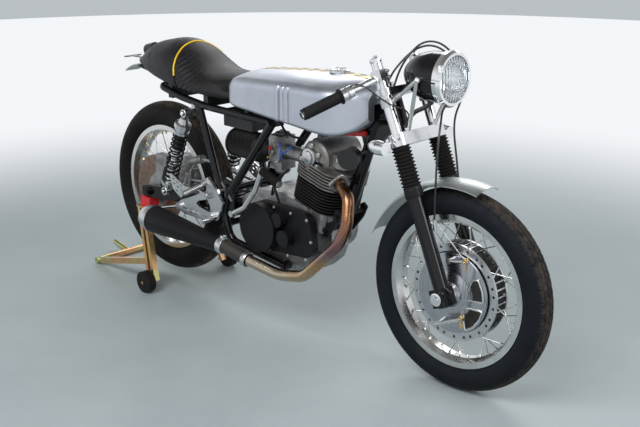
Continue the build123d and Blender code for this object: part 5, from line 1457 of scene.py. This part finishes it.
# %% [markdown]
# ## Fork tops and bars
# Each stanchion ends in a turned cap with a hexagon. The throttle housing is a drum at the inner end
# of its grip, and the clamps are drawn together by screws. Each grip has fine ribs and a ring at each end.

# %% Fork caps, throttle drum, screws
cap_profile = ((0, 0), (0, 17.4), (3, 19), (12, 19), (15, 16.5), (15, 12), (13.5, 10.5), (13.5, 0))
caps = [turned(cap_profile, on_fork((0, y, 727))[0], fork_up, 40) for y in (-LEG_SIDE, LEG_SIDE)]
hexes = copies(bolt(9, 9, 10), on_fork((0, -LEG_SIDE, 740), (0, LEG_SIDE, 740)), facing(fork_up))
piece("fork_top_caps", together(*caps, hexes), "front_fork", bright_chrome)
clamp_screws = copies(
    socket_screw(4.5, 6),
    on_fork(
        *[(31, side, height) for side in (-LEG_SIDE, LEG_SIDE) for height in (676, 694)],
        (20, -116, 490), (20, 116, 490),
    ),
    facing(fork_forward),
)
piece("clamp_screws", clamp_screws, "front_fork", plain_steel)
bar_in, bar_out = spot(471, -230, 909), spot(428, -340, 865)
bar_way = unit(bar_in - bar_out)
housing = turned(
    ((0, 0), (0, 19), (2, 21), (4, 21), (5, 18), (20, 18), (21, 20), (26, 20), (28, 17), (28, 0)), bar_in,
    bar_way, 44
)
piece("throttle_drum", housing, "front_fork", cast_alloy)
ends = []
for side_sign in (-1, 1):
    outer = spot(428, side_sign * 340, 865)
    inner = spot(471, side_sign * 230, 909)
    way = unit(outer - inner)
    ring_profile = ((0, 0), (0, 17.4), (1.2, 18.6), (4, 18.6), (5.2, 17.4), (5.2, 0))
    ribs = [turned(ring_profile, inner + way * shift / 1000, way, 40) for shift in (2, 112)]
    steps = (0.0, 0.6, 1.8, 2.4)
    ridges = [(8 + 3.3 * k + d, 17.0 + (0.9 if 0.4 < d < 2.0 else 0.0)) for k in range(31) for d in steps]
    ends += [*ribs, turned([(7, 0), (7, 17.0), *ridges, (112, 17.0), (112, 0)], inner, way, 36)]
piece("grip_ribs", together(*ends), "front_fork", black_rubber, sharp=60)
print("fork tops and bars done")

# %% [markdown]
# ## Engine and intake
# The filter's paper is folded, so its radius follows a cosine round the axis. Screws follow
# the edge of the cover, and the carburettor gets its bowl, its round top, red taps and blue hoses.

# %% Filter, screws, carburettor
pleats = turned(
    ((58, 0), (58, 49), (194, 49), (194, 0)), spot(-39, -28, 620), (-1, 0, 0), 264,
    lobes=lambda t: 1 + 0.035 * np.cos(44 * t),
)
filter_ends = turned(
    (
        (0, 0), (0, 31), (30, 31), (34, 40), (48, 51), (56, 52), (62, 52), (62, 47), (190, 47), (190, 52),
        (197, 52), (201, 48), (201, 0),
    ),
    spot(-39, -28, 620), (-1, 0, 0), 56,
)
filter_shape = together(pleats, filter_ends)
piece(
    "air_filter_pleats", filter_shape, "chassis", barrel_black, stands_for=("air_filter",),
    sharp=50,
)
cover_edge = [
    (-68, -114, 322), (-74, -114, 420), (-14, -114, 456), (54, -114, 456), (136, -114, 452), (212, -114, 444),
    (231, -114, 372), (206, -114, 306), (120, -114, 300), (30, -114, 300),
]
piece(
    "cover_screws", copies(socket_screw(5.5, 5), mm(*cover_edge), ALONG_Y_RIGHT), "chassis", plain_steel,
)
round_caps = [
    turned(
        ((0, 0), (0, 27), (3, 29), (8, 29), (9, 22), (16, 21), (18, 18), (18, 0)), spot(204, -92, 654),
        (0, -1, 0), 44,
    ),
]
around = np.linspace(0, 2 * pi, 6, endpoint=False) + 0.3
ring = np.stack([204 + 40 * np.cos(around), np.full(6, -92.0), 654 + 40 * np.sin(around)], -1)
round_caps.append(copies(bolt(5.5, 6, 7.5), ring / 1000, ALONG_Y_RIGHT))
piece("rocker_caps", together(*round_caps), "chassis", turned_alloy)
head_nuts = copies(
    bolt(8, 9, 11),
    on_cylinder((-66, -66, 198), (66, -66, 198), (-66, 66, 198), (66, 66, 198), (0, -82, 150)),
    facing(cylinder_up)
)
piece("head_nuts", head_nuts, "chassis", plain_steel)
carb = [
    turned(
        ((0, 0), (0, 30), (2, 32), (8, 32), (11, 27), (17, 24), (19, 12), (24, 10), (24, 0)),
        spot(8, -28, 678), (0, 0, 1), 40,
    ),
    turned(
        ((0, 0), (0, 24), (4, 27), (22, 27), (30, 20), (34, 9), (34, 0)), spot(8, -28, 582), (0, 0, -1), 40,
    ),
    bar(spot(-6, -62, 628), spot(-6, -74, 628), 11.0, 20),
    bar(spot(26, -60, 660), spot(26, -74, 660), 7.0, 16),
    bar(spot(30, -60, 606), spot(30, -72, 606), 8.0, 6),
]
piece("carburettor_parts", together(*carb), "chassis", cast_alloy)
small_brass = [
    bar(spot(-28, -60, 606), spot(-28, -70, 606), 4.5, 6), bar(spot(6, -60, 652), spot(6, -69, 652), 4.0, 6),
    bar(spot(12, -60, 596), spot(12, -67, 596), 3.5, 12), bar(spot(44, -58, 640), spot(44, -66, 640), 4.0, 6),
]
piece("carburettor_jets", together(*small_brass), "chassis", brass)
red_parts = [
    bar(spot(-4, -74, 646), spot(-4, -82, 646), 6.5, 16),
    bar(spot(300, -40, 742), spot(392, -30, 752), 9.0, 16),
]
piece("red_taps", together(*red_parts), "chassis", red_tap)
hoses = [
    tube(spread(bent([(34, -70, 604), (56, -86, 618), (54, -86, 650), (32, -66, 668)], 16), 40), 3.2, 12),
    tube(spread(bent([(40, -66, 640), (66, -82, 636), (84, -76, 652), (80, -56, 664)], 16), 40), 2.6, 12),
]
piece("blue_hoses", together(*hoses), "chassis", blue_wire)
dark_hoses = [
    tube(spread(bent([(-20, -66, 592), (-6, -88, 560), (40, -100, 520), (70, -104, 470)], 20), 44), 4.5, 12),
    tube(spread(bent([(96, -84, 590), (60, -92, 560), (30, -96, 524), (16, -90, 486)], 18), 44), 3.6, 12),
    tube(spread(bent([(150, -60, 700), (120, -84, 704), (80, -86, 716), (40, -70, 744)], 16), 44), 4.0, 12),
]
piece("breather_hoses", together(*dark_hoses), "chassis", black_rubber)
pedal_way = unit(spot(172, -198, 574) - spot(78, -192, 604))
rib_steps = ((0, 0), (0.8, 1.8), (2.8, 1.8), (3.6, 0))
pedal_ribs = [(2 + 4.4 * k + step, 13.0 + height) for k in range(20) for step, height in rib_steps]
pedal_profile = [(0, 0), (0, 13), *pedal_ribs, (92, 13), (92, 0)]
pedal = turned(pedal_profile, spot(82, -192.3, 602.7), pedal_way, 30)
piece("kick_pedal_rubber", pedal, "chassis", black_rubber, sharp=50)
print("engine details done")

# %% [markdown]
# ## Floor
# The machine stands on a plain floor that turns pale with distance. Only rays from the camera, a
# mirror or glass see the pale part, so the floor keeps its shadow and sends no extra light back. It
# ends nine metres out, where its edge shows against the sky, which is greyer below the horizon.

# %% Floor


def rays_to_backdrop(tree):
    """1 for rays from the camera, a mirror or glass, which show the backdrop, and 0 for the rest."""
    rays = put(tree, "LightPath").outputs
    not_camera = maths(tree, "MAXIMUM", rays["Is Glossy Ray"], rays["Is Transmission Ray"])
    return maths(tree, "MAXIMUM", rays["Is Camera Ray"], not_camera)


FLOOR_RINGS = np.array((0.0, 0.5, 1.0, 2.0, 4.0, 9.0))
turn, reach = np.meshgrid(np.linspace(0, 2 * pi, 96, endpoint=False), FLOOR_RINGS, indexing="ij")
floor_points, floor_quads = grid(
    np.stack([reach * np.cos(turn), reach * np.sin(turn), 0 * reach], -1), round_u=True,
)
floor_mesh = bpy.data.meshes.new("studio_floor")
floor_mesh.from_pydata(floor_points.tolist(), [], floor_quads.tolist())
floor = bpy.data.objects.new("studio_floor", floor_mesh)
scene.collection.objects.link(floor)
floor_paint, tree, shader = begin("floor_paint")
away = vector_maths(tree, "LENGTH", put(tree, "TexCoord").outputs["Object"], result="Value")
scuffs = noise(tree, 2.2, 8.0, rough=0.65)
near_colour = blend_colours(tree, between(tree, scuffs, 0, 1), (0.40, 0.47, 0.49), (0.47, 0.54, 0.56))
tree.links.new(near_colour, shader.inputs["Base Color"])
tree.links.new(between(tree, scuffs, 0.42, 0.6), shader.inputs["Roughness"])
shader.inputs["Specular IOR Level"].default_value = 0.3
seen = rays_to_backdrop(tree)
fade = put(
    tree, "MapRange", {"Value": away, "From Min": 1.5, "From Max": 3.6}, interpolation_type="SMOOTHSTEP",
)
share = maths(tree, "MULTIPLY", seen, fade.outputs["Result"])
pale = put(tree, "Emission", {"Color": (0.90, 0.92, 0.95, 1.0)})
mixed = put(tree, "MixShader", {"Fac": share, 1: shader.outputs["BSDF"], 2: pale.outputs["Emission"]})
tree.links.new(mixed.outputs["Shader"], tree.nodes["Material Output"].inputs["Surface"])
floor_mesh.materials.append(floor_paint)
print("floor", len(floor_mesh.polygons), "faces")

# %% [markdown]
# ## Lamps and sky
# Three large soft lamps light the machine at a plain level. The sky they stand in is pale at the
# horizon, and darker below it and overhead, so that bright metal has something to mirror.

# %% Lamps and sky


def soft_lamp(name, place, aim, power, width, height):
    """Large rectangular lamp that looks from its place to a point."""
    data = bpy.data.lights.new(name, "AREA")
    data.energy, data.shape, data.size, data.size_y = power, "RECTANGLE", width, height
    made = bpy.data.objects.new(name, data)
    made.location = place
    towards = unit(np.array(aim) - np.array(place))
    side = unit(np.cross(towards, (0, 0, 1)))
    up = np.cross(side, towards)
    rows = np.column_stack([side, up, -towards, place])
    made.matrix_world = Matrix([*rows.tolist(), (0, 0, 0, 1)])
    scene.collection.objects.link(made)
    return made


soft_lamp("key_softbox", (0.6, -2.6, 3.2), (0.0, 0.0, 0.4), 95, 3.2, 1.6)
soft_lamp("front_softbox", (3.4, 0.4, 2.2), (0.4, 0.0, 0.5), 45, 1.6, 2.2)
soft_lamp("back_softbox", (-1.6, 2.8, 2.8), (0.0, 0.0, 0.5), 50, 3.0, 1.4)
sky = bpy.data.worlds.new("studio_sky")
scene.world = sky
sky.use_nodes = True
tree = sky.node_tree
tree.nodes.clear()
height = put(tree, "SeparateXYZ", {"Vector": put(tree, "TexCoord").outputs["Generated"]}).outputs["Z"]
sky_colour = ramp(
    tree, between(tree, height, 0, 1, -1.0, 1.0), (0.0, 0.30), (0.47, (0.50, 0.54, 0.56)),
    (0.50, (0.93, 0.95, 0.98)), (0.64, (0.90, 0.92, 0.96)), (0.80, 0.30), (1.0, 0.18),
)
seen = rays_to_backdrop(tree)
level = put(tree, "MapRange", {"Value": seen, "To Min": 0.55, "To Max": 1.0})
shown = put(tree, "Background", {"Color": sky_colour, "Strength": level.outputs["Result"]})
put(tree, "OutputWorld", {"Surface": shown.outputs["Background"]})
scene.view_settings.view_transform = "Standard"
print("lamps and sky ready")
